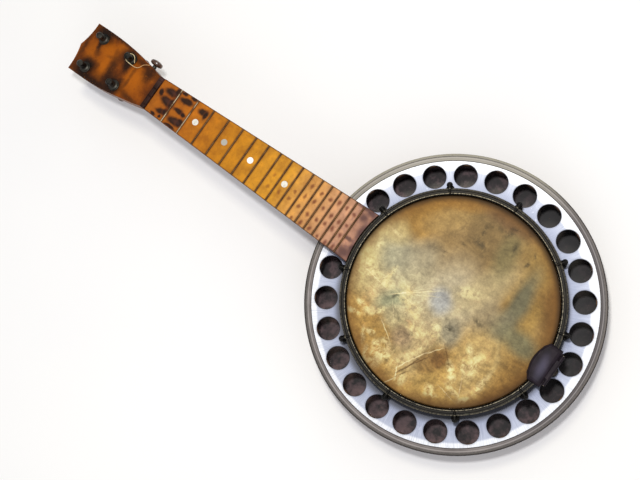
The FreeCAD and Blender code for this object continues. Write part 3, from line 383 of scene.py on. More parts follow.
    fibre = p.noise(3.4, 5.0, 0.62, stretch=(1.0, 0.3, 1.0), where=p.warped(24.0, 10.0))
    bass = p.smooth(p.split(far)[0], 24.0, -40.0)
    for value, light, share in ((cloud, 236, 0.50), (patch, 232, 0.42), (fibre, 222, 0.34),
                                (fine, 220, 0.34)):
        contrast = p.ramp(value, (0.34, rgb(128, 126, 120)), (0.66, rgb(light, light, light - 8)))
        strength = p.blend_value(bass, 0.6 * share, share)
        colour = p.mix(strength, colour, contrast, "OVERLAY")

    # A ragged brown ring of painted shade inside the rim.
    ragged = p.vector("LENGTH", p.vector("MULTIPLY", near, (1.0, 1.0, 0.0)))
    colour = p.layer(colour, p.smooth(ragged, 76.0, 90.0), 0.62, rgb(120, 78, 30))
    # The rim in painted shade: brown, darkest on the bass side towards the tail, and black by the hoop
    # where its shadow falls.
    x, y = p.split(p.place)[:2]
    shaded_corner = p.smooth(p.number("ADD", x, y), -88.0, -118.0)
    shaded_corner = p.number("MULTIPLY", shaded_corner, p.smooth(p.radius(), 77.0, 90.0))
    colour = p.layer(colour, shaded_corner, 0.62, rgb(70, 44, 16))
    shading_radius = p.number("ADD", p.radius(), p.number("MULTIPLY", x, 0.02))
    colour = p.layer(colour, p.smooth(shading_radius, 85.5, 92.0), 0.88, rgb(30, 20, 9))
    colour = p.mix(1.0, colour, (0.84, 0.84, 0.85, 1.0), "MULTIPLY")
    bump = p.number("ADD", p.number("MULTIPLY", cloud, 0.5), p.number("MULTIPLY", fine, 0.22))
    return p.finish(colour, p.blend_value(fine, 0.50, 0.68), bump, 0.25, Specular_IOR_Level=0.12)


# ------------------------------------------------------------------- metals
def plate_finish():
    """Brushed bright plate, bluish in painted shade towards the hoop, with painted shade on the bass side
    and round the ports and a painted highlight along the outer edge.
    """
    p = Paint("flange_plate")
    x, y = p.split(p.place)[:2]
    radius = p.radius()
    angle = p.number("ARCTAN2", x, y)
    swept = p.tree.nodes.new("ShaderNodeCombineXYZ")
    middle_radius = 112.0
    p.feed(swept.inputs[0], p.number("MULTIPLY", angle, middle_radius))
    p.feed(swept.inputs[1], p.number("MULTIPLY", radius, 0.06))
    brushed = p.noise(0.9, 3.0, 0.6, where=swept.outputs[0])
    wear_and_shade_noise = p.noise(22.0, 5.0, 0.6)
    dull = p.noise(6.0, 5.0, 0.66)
    shading_radius = p.number("ADD", radius, p.number("MULTIPLY", x, 0.022))
    # Painted shade: darker and bluish towards the hoop, with a ragged edge, and darker on the bass side;
    # then a painted highlight along the outer edge.
    across = p.smooth(p.number("ADD", shading_radius, p.number("MULTIPLY", wear_and_shade_noise, 6.0)), 105.0, 122.0)
    colour = p.ramp(across, (0.0, rgb(128, 134, 153)), (1.0, rgb(156, 161, 176)))
    colour = p.layer(colour, p.smooth(x, -20.0, -110.0), 0.12, rgb(111, 119, 138))
    colour = p.layer(colour, p.smooth(shading_radius, 117.2, 119.4), 0.90, rgb(202, 204, 208))
    streak = p.ramp(brushed, (0.32, rgb(150, 154, 166)), (0.68, rgb(252, 252, 255)))
    colour = p.mix(0.55, colour, streak, "MULTIPLY")
    colour = p.layer(colour, p.smooth(dull, 0.60, 0.76), 0.30, rgb(115, 115, 119))
    specks = p.number("MULTIPLY", p.smooth(dull, 0.40, 0.28), p.smooth(wear_and_shade_noise, 0.46, 0.60))
    colour = p.layer(colour, specks, 0.45, rgb(198, 202, 213))

    # Distance to the middle of the nearest port.
    past_first = p.number("SUBTRACT", p.number("ABSOLUTE", angle), FIRST_PORT)
    steps = p.number("DIVIDE", past_first, PORT_PITCH)
    nearest = p.number("MAXIMUM", p.number("ROUND", steps), 0.0)
    aside = p.number("MULTIPLY", p.number("SUBTRACT", steps, nearest), PORT_PITCH)
    outward = p.number("MULTIPLY", radius, p.number("COSINE", aside))
    port_y = p.number("SUBTRACT", outward, PORT_CIRCLE)
    port_x = p.number("MULTIPLY", radius, p.number("SINE", aside))
    apart = p.number("SQRT", p.number("ADD", p.number("MULTIPLY", port_x, port_x),
                                      p.number("MULTIPLY", port_y, port_y)))
    # Painted shade round each port: a soft grey ring on the plate and a dark line at the port's edge.
    colour = p.layer(colour, p.smooth(apart, PORT_RADIUS + 2.0, PORT_RADIUS), 0.50, rgb(102, 104, 115))
    colour = p.layer(colour, p.smooth(apart, PORT_RADIUS + 0.3, PORT_RADIUS - 0.2), 0.85, rgb(34, 30, 30))
    hoop_shade = p.number("ADD", radius, p.number("MULTIPLY", x, 0.03))
    colour = p.layer(colour, p.smooth(hoop_shade, 104.6, 98.0), 0.85, rgb(44, 44, 48))
    rough = p.blend_value(brushed, 0.34, 0.50)
    return p.finish(colour, rough, brushed, 0.03, metal=0.60)


def dark_metal(name, deep, worn, wear_share=0.5):
    """Tarnished metal: dark, with the base metal showing in scuffs."""
    p = Paint(name)
    broad = p.noise(9.0, 5.0, 0.62)
    fine = p.noise(0.9, 4.0, 0.62)
    scuffs = p.smooth(fine, 0.54, 0.72)
    colour = p.mix(p.smooth(broad, 0.38, 0.64), deep, worn)
    colour = p.layer(colour, scuffs, wear_share, worn)
    return p.finish(colour, p.blend_value(broad, 0.32, 0.55), fine, 0.05, metal=0.85)


def hoop_finish():
    """Black-brown hoop metal with painted highlights along its top ridges, broken up like wear."""
    p = Paint("hoop_metal")
    broad = p.noise(12.0, 5.0, 0.62)
    fine = p.noise(1.1, 4.0, 0.6)
    colour = p.ramp(broad, (0.35, rgb(10, 9, 8)), (0.55, rgb(19, 17, 14)), (0.72, rgb(36, 32, 26)))
    # The top ridges carry painted highlights, broken up by noise like wear.
    outer_ridge = p.between(p.radius(), 95.8, 96.5, 0.3)
    inner_ridge = p.between(p.radius(), 92.0, 92.4, 0.3)
    ridges = p.number("MAXIMUM", outer_ridge, inner_ridge)
    high = p.smooth(p.split(p.place)[2], 68.9, 69.4)
    worn = p.number("MULTIPLY", p.number("MULTIPLY", ridges, high), p.smooth(fine, 0.36, 0.62))
    colour = p.layer(colour, worn, 0.75, rgb(138, 130, 110))
    verdigris = p.smooth(p.noise(4.0, 4.0, 0.6), 0.66, 0.78)
    colour = p.layer(colour, verdigris, 0.35, rgb(84, 92, 70))
    return p.finish(colour, p.blend_value(broad, 0.30, 0.55), fine, 0.06, metal=0.8)


def tail_finish():
    """Smooth black-purple lacquer with a faint painted highlight along its top."""
    p = Paint("tail_metal")
    z = p.split(p.place)[2]
    broad = p.noise(7.0, 4.0, 0.55)
    fine = p.noise(0.7, 3.0, 0.6)
    colour = p.ramp(broad, (0.34, rgb(20, 14, 20)), (0.60, rgb(34, 26, 34)), (0.78, rgb(48, 38, 44)))
    # A faint painted highlight along the middle of the cover's top.
    top_highlight = p.spot(-3, -92, 9, 3.4, 8, 0.9)
    colour = p.layer(colour, p.number("MULTIPLY", top_highlight, p.smooth(z, 75.0, 76.3)), 0.30,
                     rgb(110, 106, 132))
    scratch = p.smooth(p.noise(2.0, 2.0, 0.5, stretch=(0.2, 2.4, 1.0)), 0.68, 0.74)
    colour = p.layer(colour, scratch, 0.25, rgb(96, 86, 88))
    return p.finish(colour, p.blend_value(fine, 0.46, 0.60), broad, 0.05,
                    Specular_IOR_Level=0.12)


def brass_finish():
    """Dull brass for the rod under the skin."""
    p = Paint("brass_ring")
    broad = p.noise(10.0, 4.0, 0.6)
    fine = p.noise(1.0, 3.0, 0.6)
    colour = p.ramp(broad, (0.35, rgb(118, 92, 44)), (0.65, rgb(176, 146, 84)))
    return p.finish(colour, p.blend_value(fine, 0.30, 0.5), fine, 0.04, metal=0.9)


# -------------------------------------------------------------------- woods
def wood(p, dark, light, stretch, size):
    """Straight-grained wood: returns its colour and a grain value for the bump."""
    bent = p.warped(26.0, 2.6)
    grain = p.noise(size, 6.0, 0.66, stretch=stretch, where=bent)
    bands = p.noise(size * 3.2, 2.0, 0.5, stretch=stretch, where=bent, bend=0.6)
    pores = p.noise(size * 0.32, 3.0, 0.6, stretch=stretch, where=bent)
    colour = p.ramp(grain, (0.32, dark), (0.68, light))
    colour = p.layer(colour, p.smooth(bands, 0.46, 0.62), 0.42, dark)
    colour = p.layer(colour, p.smooth(pores, 0.60, 0.70), 0.45, dark)
    return colour, pores


def resonator_finish():
    """Aged brown varnish outside, bare brown wood inside with painted light and shade, and a worn striped
    edge with painted shade on its tail side and a painted highlight towards the head.
    """
    p = Paint("resonator_wood")
    x, y, z = p.split(p.place)
    bottom = p.smooth(z, BACK_TOP + 0.2, BACK_TOP - 0.4)
    along_y, pores_y = wood(p, rgb(70, 38, 20), rgb(124, 74, 40), (1.0, 0.05, 1.0), 3.2)
    around, pores_r = wood(p, rgb(62, 36, 22), rgb(112, 68, 40), (0.06, 0.06, 1.0), 2.6)
    colour = p.mix(bottom, around, along_y)
    pores = p.blend_value(bottom, pores_r, pores_y)

    inside_wall = p.smooth(p.radius(), WALL_INNER + 0.4, WALL_INNER - 0.1)
    floor_inside = p.number("MULTIPLY", p.smooth(z, BACK_TOP - 0.3, BACK_TOP - 0.05),
                            p.smooth(z, BACK_TOP + 1.0, BACK_TOP + 0.3))
    inside = p.number("MAXIMUM", inside_wall, floor_inside)
    outside = p.smooth(z, BACK_TOP - 0.1, BACK_TOP - 0.3)
    inside = p.number("MULTIPLY", inside, p.number("SUBTRACT", 1.0, outside))
    dust_and_light_noise = p.noise(9.0, 5.0, 0.6)
    inside_wood_lit_and_shaded = p.ramp(dust_and_light_noise, (0.36, rgb(26, 20, 23)), (0.50, rgb(50, 38, 42)), (0.64, rgb(104, 82, 86)),
                 (0.80, rgb(64, 50, 54)))
    # Painted light on the floor inside towards the bass side, then painted shade towards the tail and
    # treble side.
    inside_wood_lit_and_shaded = p.layer(inside_wood_lit_and_shaded, p.number("MULTIPLY", p.smooth(x, -30.0, -110.0), p.smooth(dust_and_light_noise, 0.36, 0.56)),
                  0.50, rgb(116, 92, 94))
    inside_wood_lit_and_shaded = p.layer(inside_wood_lit_and_shaded, p.smooth(p.number("SUBTRACT", x, y), 70.0, 140.0), 0.80, rgb(14, 12, 16))
    colour = p.layer(colour, inside, 1.0, inside_wood_lit_and_shaded)

    edge = p.smooth(z, WALL_TOP - 1.5, WALL_TOP - 0.8)
    fine = p.noise(1.4, 4.0, 0.62)
    band = p.ramp(p.noise(20.0, 4.0, 0.6), (0.36, rgb(100, 92, 90)), (0.66, rgb(130, 122, 120)))
    # Painted shade on the tail side of the edge band and a painted highlight towards the head on the
    # treble side.
    shaded_tail_side = p.smooth(p.number("SUBTRACT", p.number("MULTIPLY", x, 0.35), y), 50.0, 120.0)
    lit_head_side = p.smooth(p.number("ADD", x, y), 70.0, 150.0)
    band = p.layer(band, shaded_tail_side, 0.85, rgb(64, 58, 62))
    band = p.layer(band, lit_head_side, 0.50, rgb(176, 172, 156))
    band = p.layer(band, p.between(p.radius(), 124.8, 125.6, 0.3), 0.85, rgb(52, 46, 44))
    band = p.layer(band, p.between(p.radius(), 127.3, 128.0, 0.3), 0.60, rgb(164, 158, 156))
    band = p.layer(band, p.between(p.radius(), 126.6, 127.0, 0.2), 0.50, rgb(70, 62, 60))
    band = p.layer(band, p.smooth(fine, 0.60, 0.72), 0.35, rgb(84, 74, 66))
    colour = p.layer(colour, edge, 1.0, band)

    scuff = p.number("MULTIPLY", p.smooth(p.noise(5.0, 5.0, 0.68), 0.64, 0.72), p.smooth(z, 41.0, 38.0))
    colour = p.layer(colour, scuff, 0.35, rgb(152, 112, 76))
    worn_foot = p.number("MULTIPLY", p.between(z, 0.4, 3.6, 0.8), p.smooth(p.radius(), 127.0, 130.6))
    colour = p.layer(colour, p.number("MULTIPLY", worn_foot, p.smooth(fine, 0.44, 0.6)), 0.6,
                     rgb(150, 110, 72))
    rough = p.blend_value(inside, p.blend_value(fine, 0.26, 0.42), 0.75)
    rough = p.blend_value(edge, rough, 0.66)
    return p.finish(colour, rough, pores, 0.08, Coat_Weight=0.2, Coat_Roughness=0.25)


def binding_finish():
    """Grey-brown edging with a light line, painted shade on the bass side and on the dark, a little worn
    outside, and a painted highlight towards the head.
    """
    p = Paint("binding")
    fine = p.noise(1.6, 4.0, 0.62)
    broad = p.noise(24.0, 4.0, 0.6)
    colour = p.ramp(broad, (0.35, rgb(70, 62, 60)), (0.65, rgb(96, 88, 84)))
    x, y = p.split(p.place)[:2]
    lit_head_side = p.smooth(p.number("ADD", x, y), 70.0, 150.0)
    # Painted shade on the bass side and a painted highlight towards the head on the treble side.
    colour = p.layer(colour, p.smooth(x, 20.0, -90.0), 0.90, rgb(32, 27, 25))
    colour = p.layer(colour, lit_head_side, 0.60, rgb(176, 172, 152))
    colour = p.layer(colour, p.between(p.radius(), 129.5, 130.0, 0.2), 0.4, rgb(128, 120, 114))
    # A dark line of painted shade on the rounded outside, fading where the painted highlight is.
    shaded_rim_line = p.number("MULTIPLY", p.smooth(p.radius(), 130.0, 130.8), p.smooth(lit_head_side, 1.0, 0.2))
    colour = p.layer(colour, shaded_rim_line, 0.92, rgb(34, 28, 26))
    colour = p.layer(colour, p.smooth(fine, 0.58, 0.70), 0.4, rgb(64, 52, 44))
    return p.finish(colour, p.blend_value(fine, 0.46, 0.60), fine, 0.03, Specular_IOR_Level=0.35)


def purfling_finish():
    """Dark inlaid lines, a little worn."""
    p = Paint("purfling")
    fine = p.noise(1.2, 3.0, 0.6)
    colour = p.ramp(fine, (0.35, rgb(40, 34, 32)), (0.7, rgb(88, 80, 76)))
    return p.finish(colour, 0.45, fine, 0.04)


def inner_wood_finish():
    """Plain unvarnished wood inside the resonator."""
    p = Paint("inner_wood")
    colour, pores = wood(p, rgb(72, 48, 34), rgb(120, 88, 62), (0.1, 0.1, 1.0), 2.4)
    return p.finish(colour, 0.72, pores, 0.08)


def rim_finish():
    """Laminated maple, darkened, with the plies showing on its low edge."""
    p = Paint("rim_maple")
    colour, pores = wood(p, rgb(112, 66, 30), rgb(172, 116, 60), (0.07, 0.07, 1.0), 2.6)
    plies = p.number("FRACT", p.number("MULTIPLY", p.radius(), 0.62))
    ply_line = p.smooth(plies, 0.16, 0.02)
    low = p.smooth(p.split(p.place)[2], 8.4, 8.1)
    colour = p.layer(colour, p.number("MULTIPLY", ply_line, low), 0.7, rgb(70, 40, 20))
    return p.finish(colour, p.blend_value(pores, 0.34, 0.52), pores, 0.06, Coat_Weight=0.15)


def neck_finish():
    """Stained neck wood, and a headstock face with dark haloes round the pegs."""
    p = Paint("neck_wood")
    y = p.split(p.place)[1]
    plain, pores = wood(p, rgb(72, 38, 16), rgb(132, 78, 36), (1.0, 0.06, 1.0), 2.8)
    rub = p.noise(30.0, 4.0, 0.6)
    plain = p.layer(plain, p.smooth(rub, 0.52, 0.68), 0.35, rgb(152, 98, 52))

    far = p.warped(12.0, 2.4)
    near = p.warped(3.4, 1.3, far)
    tone = p.noise(14.0, 5.0, 0.62, where=far)
    grit = p.noise(2.6, 5.0, 0.66, where=near)
    face = p.ramp(tone, (0.34, rgb(98, 46, 4)), (0.50, rgb(126, 62, 4)), (0.66, rgb(148, 78, 6)))
    glows = (
        (0, 352, 13, 9, 0, 0.75), (4, 388, 12, 9, 10, 0.60), (-10, 388, 9, 6, 0, 0.35),
        (2, 407, 9, 6, 0, 0.50), (10, 392, 6, 8, 0, 0.40),
    )
    for cx, cy, across, along, turn, strength in glows:
        mask = p.spot(cx, cy, across, along, turn, 0.7, far)
        face = p.layer(face, mask, strength, rgb(172, 92, 6))
    stains = (
        (-17, 404, 10, 9, 10, 0.94), (-13, 400, 7, 7, 0, 0.90), (19, 404, 7, 10, 0, 0.90),
        (10, 403, 7, 2.6, 6, 0.85), (-15, 370, 9.5, 9, 20, 0.94), (-16, 366, 6, 6, 0, 0.85),
        (15, 370, 8, 8, 10, 0.92), (7, 367, 8, 4, 10, 0.85), (-4, 379, 13, 4.5, 4, 0.72),
        (-8, 363, 4, 2.2, -20, 0.50), (-6, 358, 6, 1.6, 0, 0.50), (5, 357, 6, 1.6, 0, 0.42),
        (9, 344, 6, 5, 40, 0.60), (17, 352, 3, 9, 0, 0.65), (15, 341, 5, 8, 20, 0.62),
        (-23, 390, 3.4, 26, 0, 0.80), (24, 392, 2.4, 26, 0, 0.72), (-19, 384, 6, 9, 0, 0.55),
        (-17, 345, 2.4, 12, -14, 0.60), (0, 416, 16, 1.8, 0, 0.50), (6, 386, 2, 5, 20, 0.30),
        (2, 400, 4, 2, 0, 0.35), (12, 384, 3, 2, 0, 0.30), (-10, 392, 5, 2, 10, 0.35),
    )
    for cx, cy, across, along, turn, strength in stains:
        mask = p.spot(cx, cy, across, along, turn, 0.7, near)
        mask = p.number("MULTIPLY", mask, p.smooth(grit, 0.12, 0.46))
        face = p.layer(face, mask, min(1.0, 1.12 * strength), rgb(24, 12, 5))
    # Painted shadow on the headstock face beside the nut.
    face = p.layer(face, p.smooth(y, 337.0, 330.0), 0.75, rgb(52, 24, 10))
    face = p.layer(face, p.smooth(grit, 0.58, 0.70), 0.50, rgb(84, 34, 6))
    face = p.layer(face, p.smooth(p.noise(1.2, 3.0, 0.6), 0.64, 0.72), 0.30, rgb(196, 122, 40))

    upward = p.smooth(p.facing(), 0.86, 0.95)
    headstock = p.number("MULTIPLY", upward, p.smooth(y, 328.0, 329.4))
    colour = p.layer(plain, headstock, 1.0, face)
    fine = p.noise(1.3, 3.0, 0.6)
    rough = p.blend_value(headstock, p.blend_value(rub, 0.34, 0.50), p.blend_value(fine, 0.42, 0.56))
    bump = p.blend_value(headstock, pores, fine)
    return p.finish(colour, rough, bump, 0.06, Specular_IOR_Level=0.14)


# ---------------------------------------------------------- board and frets
def fret_y(number):
    """Distance along the neck of a fret, in millimetres."""
    return NUT_FRONT - SCALE_LENGTH * (1 - 2 ** (-number / 12.0))


def board_finish():
    """Amber facing: dark leopard blotches by the nut, pink wear by the pot."""
    p = Paint("board_faced")
    x, y = p.split(p.place)[:2]
    far = p.warped(10.0, 1.6)
    near = p.warped(2.6, 0.9, far)
    tone = p.noise(11.0, 5.0, 0.6, where=far)
    fine = p.noise(1.5, 4.0, 0.62)
    length = p.number("DIVIDE", p.number("SUBTRACT", y, BOARD_END), NUT_FRONT - BOARD_END)
    colour = p.ramp(length,
                    (0.00, rgb(150, 108, 92)), (0.12, rgb(182, 136, 106)), (0.24, rgb(190, 138, 78)),
                    (0.38, rgb(190, 134, 32)), (0.60, rgb(176, 116, 12)), (0.84, rgb(164, 94, 10)),
                    (1.00, rgb(150, 84, 12)))
    shade = p.ramp(tone, (0.34, rgb(150, 134, 116)), (0.52, rgb(196, 192, 186)),
                   (0.70, rgb(236, 226, 206)))
    colour = p.mix(0.55, colour, shade, "OVERLAY")

    dark = rgb(26, 10, 4)
    blotches = (
        (-9.4, 310, 2.6, 6.6, 8), (-7.6, 306.6, 4.0, 2.6, 0), (0.6, 311, 4.0, 7.4, -8),
        (1.8, 306.4, 5.0, 2.4, 0), (9.8, 311.5, 3.4, 6.6, 4), (13.4, 306.8, 4.6, 2.6, 0),
        (-15.2, 316, 1.6, 2.6, 0), (-14.4, 309.6, 1.6, 1.4, 0), (5.6, 320.4, 3.2, 2.2, 20),
        (-10.2, 294.5, 3.8, 7.4, 6), (-9.0, 290, 4.0, 3.0, 0), (-0.4, 297, 2.4, 5.2, -4),
        (-1.4, 291, 1.8, 2.4, 0), (10.6, 295.5, 3.0, 7.0, 6), (16.0, 301, 1.6, 3.0, 0),
        (16.2, 291, 1.8, 3.4, 0), (11.4, 277, 3.4, 5.6, 10), (9.6, 273.6, 4.2, 2.0, 0),
        (-16.4, 296, 1.4, 6.0, 0),
    )
    for cx, cy, across, along, turn in blotches:
        halo = p.spot(cx, cy, 1.5 * across, 1.25 * along, turn, 0.5, near)
        colour = p.layer(colour, halo, 0.34, rgb(128, 60, 8))
        colour = p.layer(colour, p.spot(cx, cy, across, along, turn, 0.4, near), 0.96, dark)
    for cx, cy, across, along in ((1.2, 310, 1.6, 4.0), (10.4, 310, 1.3, 3.6), (-9.8, 293, 1.6, 4.0)):
        colour = p.layer(colour, p.spot(cx, cy, across, along, 0, 0.7, near), 0.5, rgb(72, 40, 34))

    for number in range(9, FRET_COUNT + 1):
        middle = (fret_y(number) + fret_y(number - 1)) / 2
        share = min(1.0, (number - 8) / 5.0)
        for index, row in enumerate((-20.5, -8.8, 1.2, 12.6)):
            shift = 1.1 * math.sin(5.0 * number + 3.0 * index)
            if index in (0, 3) and number < 12:
                continue
            across = 1.5 + 0.7 * share + 0.4 * math.sin(2.0 * number + index)
            mask = p.spot(row + shift, middle + 0.6 * shift, across, 1.3 + 0.3 * share, 0, 0.7, near)
            colour = p.layer(colour, mask, 0.45 + 0.37 * share, rgb(98, 38, 14))
    grime = p.smooth(p.noise(4.2, 5.0, 0.64, where=far), 0.50, 0.66)
    colour = p.layer(colour, p.number("MULTIPLY", grime, p.smooth(y, 126.0, 104.0)), 0.55,
                     rgb(122, 84, 84))
    for cx, cy, across, along in ((-19, 101, 4.6, 6.0), (-7, 104, 2.0, 4.4), (4, 98, 8.0, 3.0),
                                  (15, 103, 4.0, 3.6), (22, 99, 3.0, 5.0), (-12, 97, 4.0, 2.0),
                                  (-24, 106, 1.8, 9.0), (23, 108, 1.6, 7.0), (0, 95, 20.0, 2.0)):
        colour = p.layer(colour, p.spot(cx, cy, across, along, 0, 0.7, near), 0.80, rgb(58, 30, 36))

    for number in range(1, FRET_COUNT + 1):
        beside = p.between(y, fret_y(number) - 1.4, fret_y(number) + 1.4, 0.8)
        colour = p.layer(colour, beside, 0.55, rgb(84, 44, 12))
    flecks = p.smooth(fine, 0.60, 0.70)
    colour = p.layer(colour, flecks, 0.36, rgb(112, 52, 8))
    widening = p.number("MULTIPLY", p.number("SUBTRACT", NUT_FRONT, y), BOARD_TAPER)
    half = p.number("ADD", widening, BOARD_HALF_AT_NUT)
    to_edge = p.number("SUBTRACT", half, p.number("ABSOLUTE", x))
    colour = p.layer(colour, p.smooth(to_edge, 1.3, 0.3), 0.70, rgb(62, 32, 12))
    side = p.smooth(p.facing(), 0.8, 0.3)
    colour = p.layer(colour, side, 0.9, rgb(58, 30, 16))
    rough = p.blend_value(fine, 0.40, 0.54)
    return p.finish(colour, rough, fine, 0.04, Specular_IOR_Level=0.14)


def fret_finish():
    """Dull brown fret wire, with brighter tops on the two frets by the nut."""
    p = Paint("fret_wire")
    y, z = p.split(p.place)[1:]
    fine = p.noise(0.8, 4.0, 0.6)
    colour = p.ramp(p.noise(6.0, 4.0, 0.6), (0.35, rgb(58, 36, 16)), (0.66, rgb(98, 70, 38)))
    bright = p.number("MULTIPLY", p.smooth(y, 278.0, 290.0), p.smooth(z, 71.5, 71.75))
    patchy = p.smooth(p.noise(7.0, 3.0, 0.6), 0.40, 0.56)
    colour = p.layer(colour, p.number("MULTIPLY", bright, patchy), 0.75, rgb(168, 152, 124))
    colour = p.layer(colour, p.smooth(fine, 0.58, 0.7), 0.4, rgb(44, 28, 14))
    return p.finish(colour, p.blend_value(fine, 0.34, 0.55), fine, 0.03, metal=0.7)


def pearl_finish():
    """Off-white inlay: the fifth-fret dot is greyer and the seventh brightest."""
    p = Paint("pearl")
    y = p.split(p.place)[1]
    cloud = p.noise(1.6, 4.0, 0.6, bend=1.5)
    colour = p.ramp(cloud, (0.34, rgb(186, 182, 172)), (0.52, rgb(226, 224, 214)),
                    (0.70, rgb(206, 204, 200)))
    grey = p.between(y, 235.0, 258.0, 2.0)
    colour = p.layer(colour, grey, 0.75, rgb(146, 142, 130))
    bright = p.between(y, 206.0, 232.0, 2.0)
    colour = p.layer(colour, bright, 0.85, rgb(252, 250, 244))
    return p.finish(colour, p.blend_value(cloud, 0.16, 0.32), cloud, 0.02, Coat_Weight=0.4)


def nut_finish():
    """Near-black mottled nut, with a painted highlight on the treble side."""
    p = Paint("nut_dark")
    colour, pores = wood(p, rgb(30, 12, 8), rgb(58, 28, 20), (0.1, 1.0, 1.0), 1.6)
    x = p.split(p.place)[0]
    mottle = p.smooth(p.noise(5.0, 5.0, 0.66), 0.44, 0.60)
    colour = p.layer(colour, mottle, 0.55, rgb(18, 8, 4))
    # A painted highlight on the treble side.
    colour = p.layer(colour, p.smooth(x, 4.0, 14.0), 0.16, rgb(120, 84, 76))
    return p.finish(colour, 0.5, pores, 0.05, Specular_IOR_Level=0.12)


def button_finish():
    """Dark moulded buttons with faint swirls."""
    p = Paint("button_dark")
    swirl = p.noise(5.0, 5.0, 0.6, bend=2.2)
    fine = p.noise(1.0, 3.0, 0.6)
    colour = p.ramp(swirl, (0.35, rgb(44, 26, 18)), (0.55, rgb(78, 48, 30)), (0.72, rgb(112, 74, 46)))
    return p.finish(colour, p.blend_value(fine, 0.24, 0.40), fine, 0.02,
                    Specular_IOR_Level=0.5, Coat_Weight=0.3, Coat_Roughness=0.2)


def wire_finish():
    """Pale wire that turns golden towards the side peg."""
    p = Paint("string_wire")
    fine = p.noise(0.9, 3.0, 0.6)
    along = p.smooth(p.split(p.place)[1], 366.0, 350.0)
    colour = p.ramp(fine, (0.35, rgb(168, 146, 100)), (0.62, rgb(226, 212, 170)))
    colour = p.layer(colour, along, 0.7, rgb(176, 104, 34))
    return p.finish(colour, 0.4, fine, 0.01, Specular_IOR_Level=0.3)


# ------------------------------------------------------------------- string
def on_head(across, along, rise):
    """A point given in millimetres on the headstock's tilted face."""
    sine, cosine = math.sin(HEAD_TILT), math.cos(HEAD_TILT)
    local = Vector((across, along * cosine + rise * sine, rise * cosine - along * sine))
    return HEAD_FACE + local / 1000.0


def make_string():
    """The broken string: hooked round a post, then across the face to the side peg."""
    post_x, post_y, loop = 14.5, 37.2, 4.4
    route = [on_head(post_x - 1.6, post_y - loop - 1.4, 2.9)]
    for angle, rise in ((-72, 3.1), (-27, 3.7), (18, 4.4), (63, 5.0), (108, 5.2), (153, 4.8),
                        (192, 4.0)):
        turn = math.radians(angle)
        route.append(on_head(post_x + loop * math.cos(turn), post_y + loop * math.sin(turn), rise))
    for across, along, rise in ((9.9, 31.6, 2.6), (10.3, 27.4, 1.4), (12.9, 25.2, 0.9),
                                (16.3, 23.8, 0.9), (18.5, 19.8, 1.0), (19.1, 17.8, 1.3)):
        route.append(on_head(across, along, rise))
    data = bpy.data.curves.new("loose_string", "CURVE")
    data.dimensions = "3D"
    data.bevel_depth = 0.00035
    data.bevel_resolution = 4
    data.use_fill_caps = True
    data.resolution_u = 12
    spline = data.splines.new("NURBS")
    spline.points.add(len(route) - 1)
    for point, spot in zip(spline.points, route):
        point.co = spot.to_4d()
    spline.order_u = 3
    spline.use_endpoint_u = True
    string = bpy.data.objects.new("loose_string", data)
    bpy.context.scene.collection.objects.link(string)
    data.materials.append(wire_finish())
    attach(string, "root")
    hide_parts("string_end")


# ------------------------------------------------------------ floor, lights
def make_floor():
    """A plain pale floor under the resonator's flat back."""
    mesh = bpy.data.meshes.new("floor")
    half = 4.0
    mesh.from_pydata([(-half, -half, 0), (half, -half, 0), (half, half, 0), (-half, half, 0)],
                     [], [(0, 1, 2, 3)])
    floor = bpy.data.objects.new("floor", mesh)
    bpy.context.scene.collection.objects.link(floor)
    p = Paint("floor")
    tone = p.ramp(p.noise(400.0, 3.0, 0.5), (0.3, rgb(238, 238, 240)), (0.7, rgb(244, 244, 244)))
    mesh.materials.append(p.finish(tone, 0.85, Specular_IOR_Level=0.2))


def area_light(name, spot, target, size, power, colour):
    """A round soft light at spot that faces target."""
    data = bpy.data.lights.new(name, "AREA")
    data.shape = "DISK"
    data.size = size
    data.energy = power
    data.color = colour
    lamp = bpy.data.objects.new(name, data)
    aim = Vector(target) - Vector(spot)
    lamp.location = spot
    lamp.rotation_euler = aim.to_track_quat("-Z", "Y").to_euler()
    bpy.context.scene.collection.objects.link(lamp)


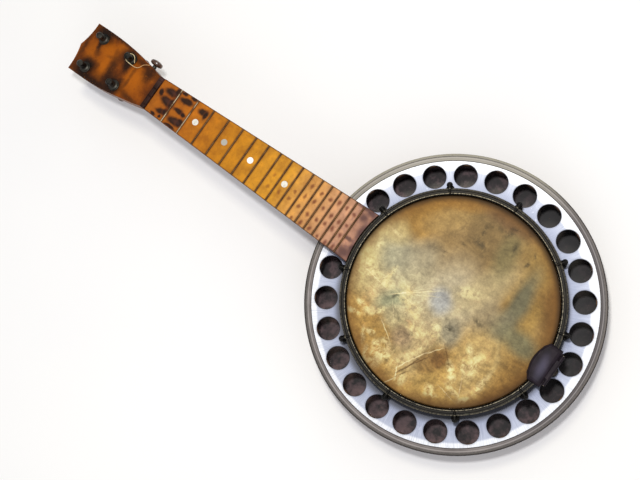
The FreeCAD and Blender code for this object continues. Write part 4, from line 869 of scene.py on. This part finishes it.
def make_lights():
    """A small lamp near the camera, a warm window and a cool fill."""
    area_light("key", (0.052, 0.054, 1.10), (0.0, 0.08, 0.0), 0.07, 5.2, (1.0, 0.99, 0.98))
    area_light("window", (0.43, 0.40, 2.0), (0.0, 0.05, 0.0), 0.36, 9.0, (1.0, 0.94, 0.74))
    area_light("fill", (-1.5, -1.3, 1.3), (0.0, 0.05, 0.0), 1.6, 6.5, (0.92, 0.95, 1.0))
    world = bpy.data.worlds.new("world")
    world.use_nodes = True
    background = world.node_tree.nodes["Background"]
    background.inputs["Color"].default_value = (0.97, 0.97, 1.0, 1.0)
    background.inputs["Strength"].default_value = 0.56
    bpy.context.scene.world = world


make_camera()
make_string()
make_floor()
make_lights()
bpy.context.scene.view_settings.view_transform = "Standard"

dress(skin_finish(), "head_skin")
dress(plate_finish(), "flange")
dress(hoop_finish(), "tension_hoop", "hooks", "shoes")
dress(dark_metal("dark_steel", rgb(52, 46, 40), rgb(120, 112, 100)), "flesh_hoop", "hook_nuts",
      "shoe_bolts", "end_bolt", "end_nut", "tailpiece_pin", "resonator_screw", "tuner_1_screw",
      "tuner_2_screw", "tuner_3_screw", "tuner_4_screw")
dress(resonator_finish(), "resonator_back", "resonator_side")
dress(binding_finish(), "resonator_binding")
dress(purfling_finish(), "resonator_purfling")
dress(inner_wood_finish(), "resonator_lining", "resonator_spacer")
dress(rim_finish(), "rim", "dowel_stick")
dress(brass_finish(), "tone_ring")
dress(tail_finish(), "tailpiece_base", "tailpiece_cover")
dress(neck_finish(), "neck")
dress(board_finish(), "fretboard")
dress(fret_finish(), "frets")
dress(pearl_finish(), "position_dots")
dress(nut_finish(), "nut")
dress(dark_metal("tuner_metal", rgb(26, 26, 25), rgb(70, 68, 62), 0.30), "tuner_bushings",
      "tuner_washers", "side_peg_stem", "tuner_1_post", "tuner_2_post", "tuner_3_post",
      "tuner_4_post")
dress(button_finish(), "side_peg_knob", "tuner_1_button", "tuner_2_button", "tuner_3_button",
      "tuner_4_button")
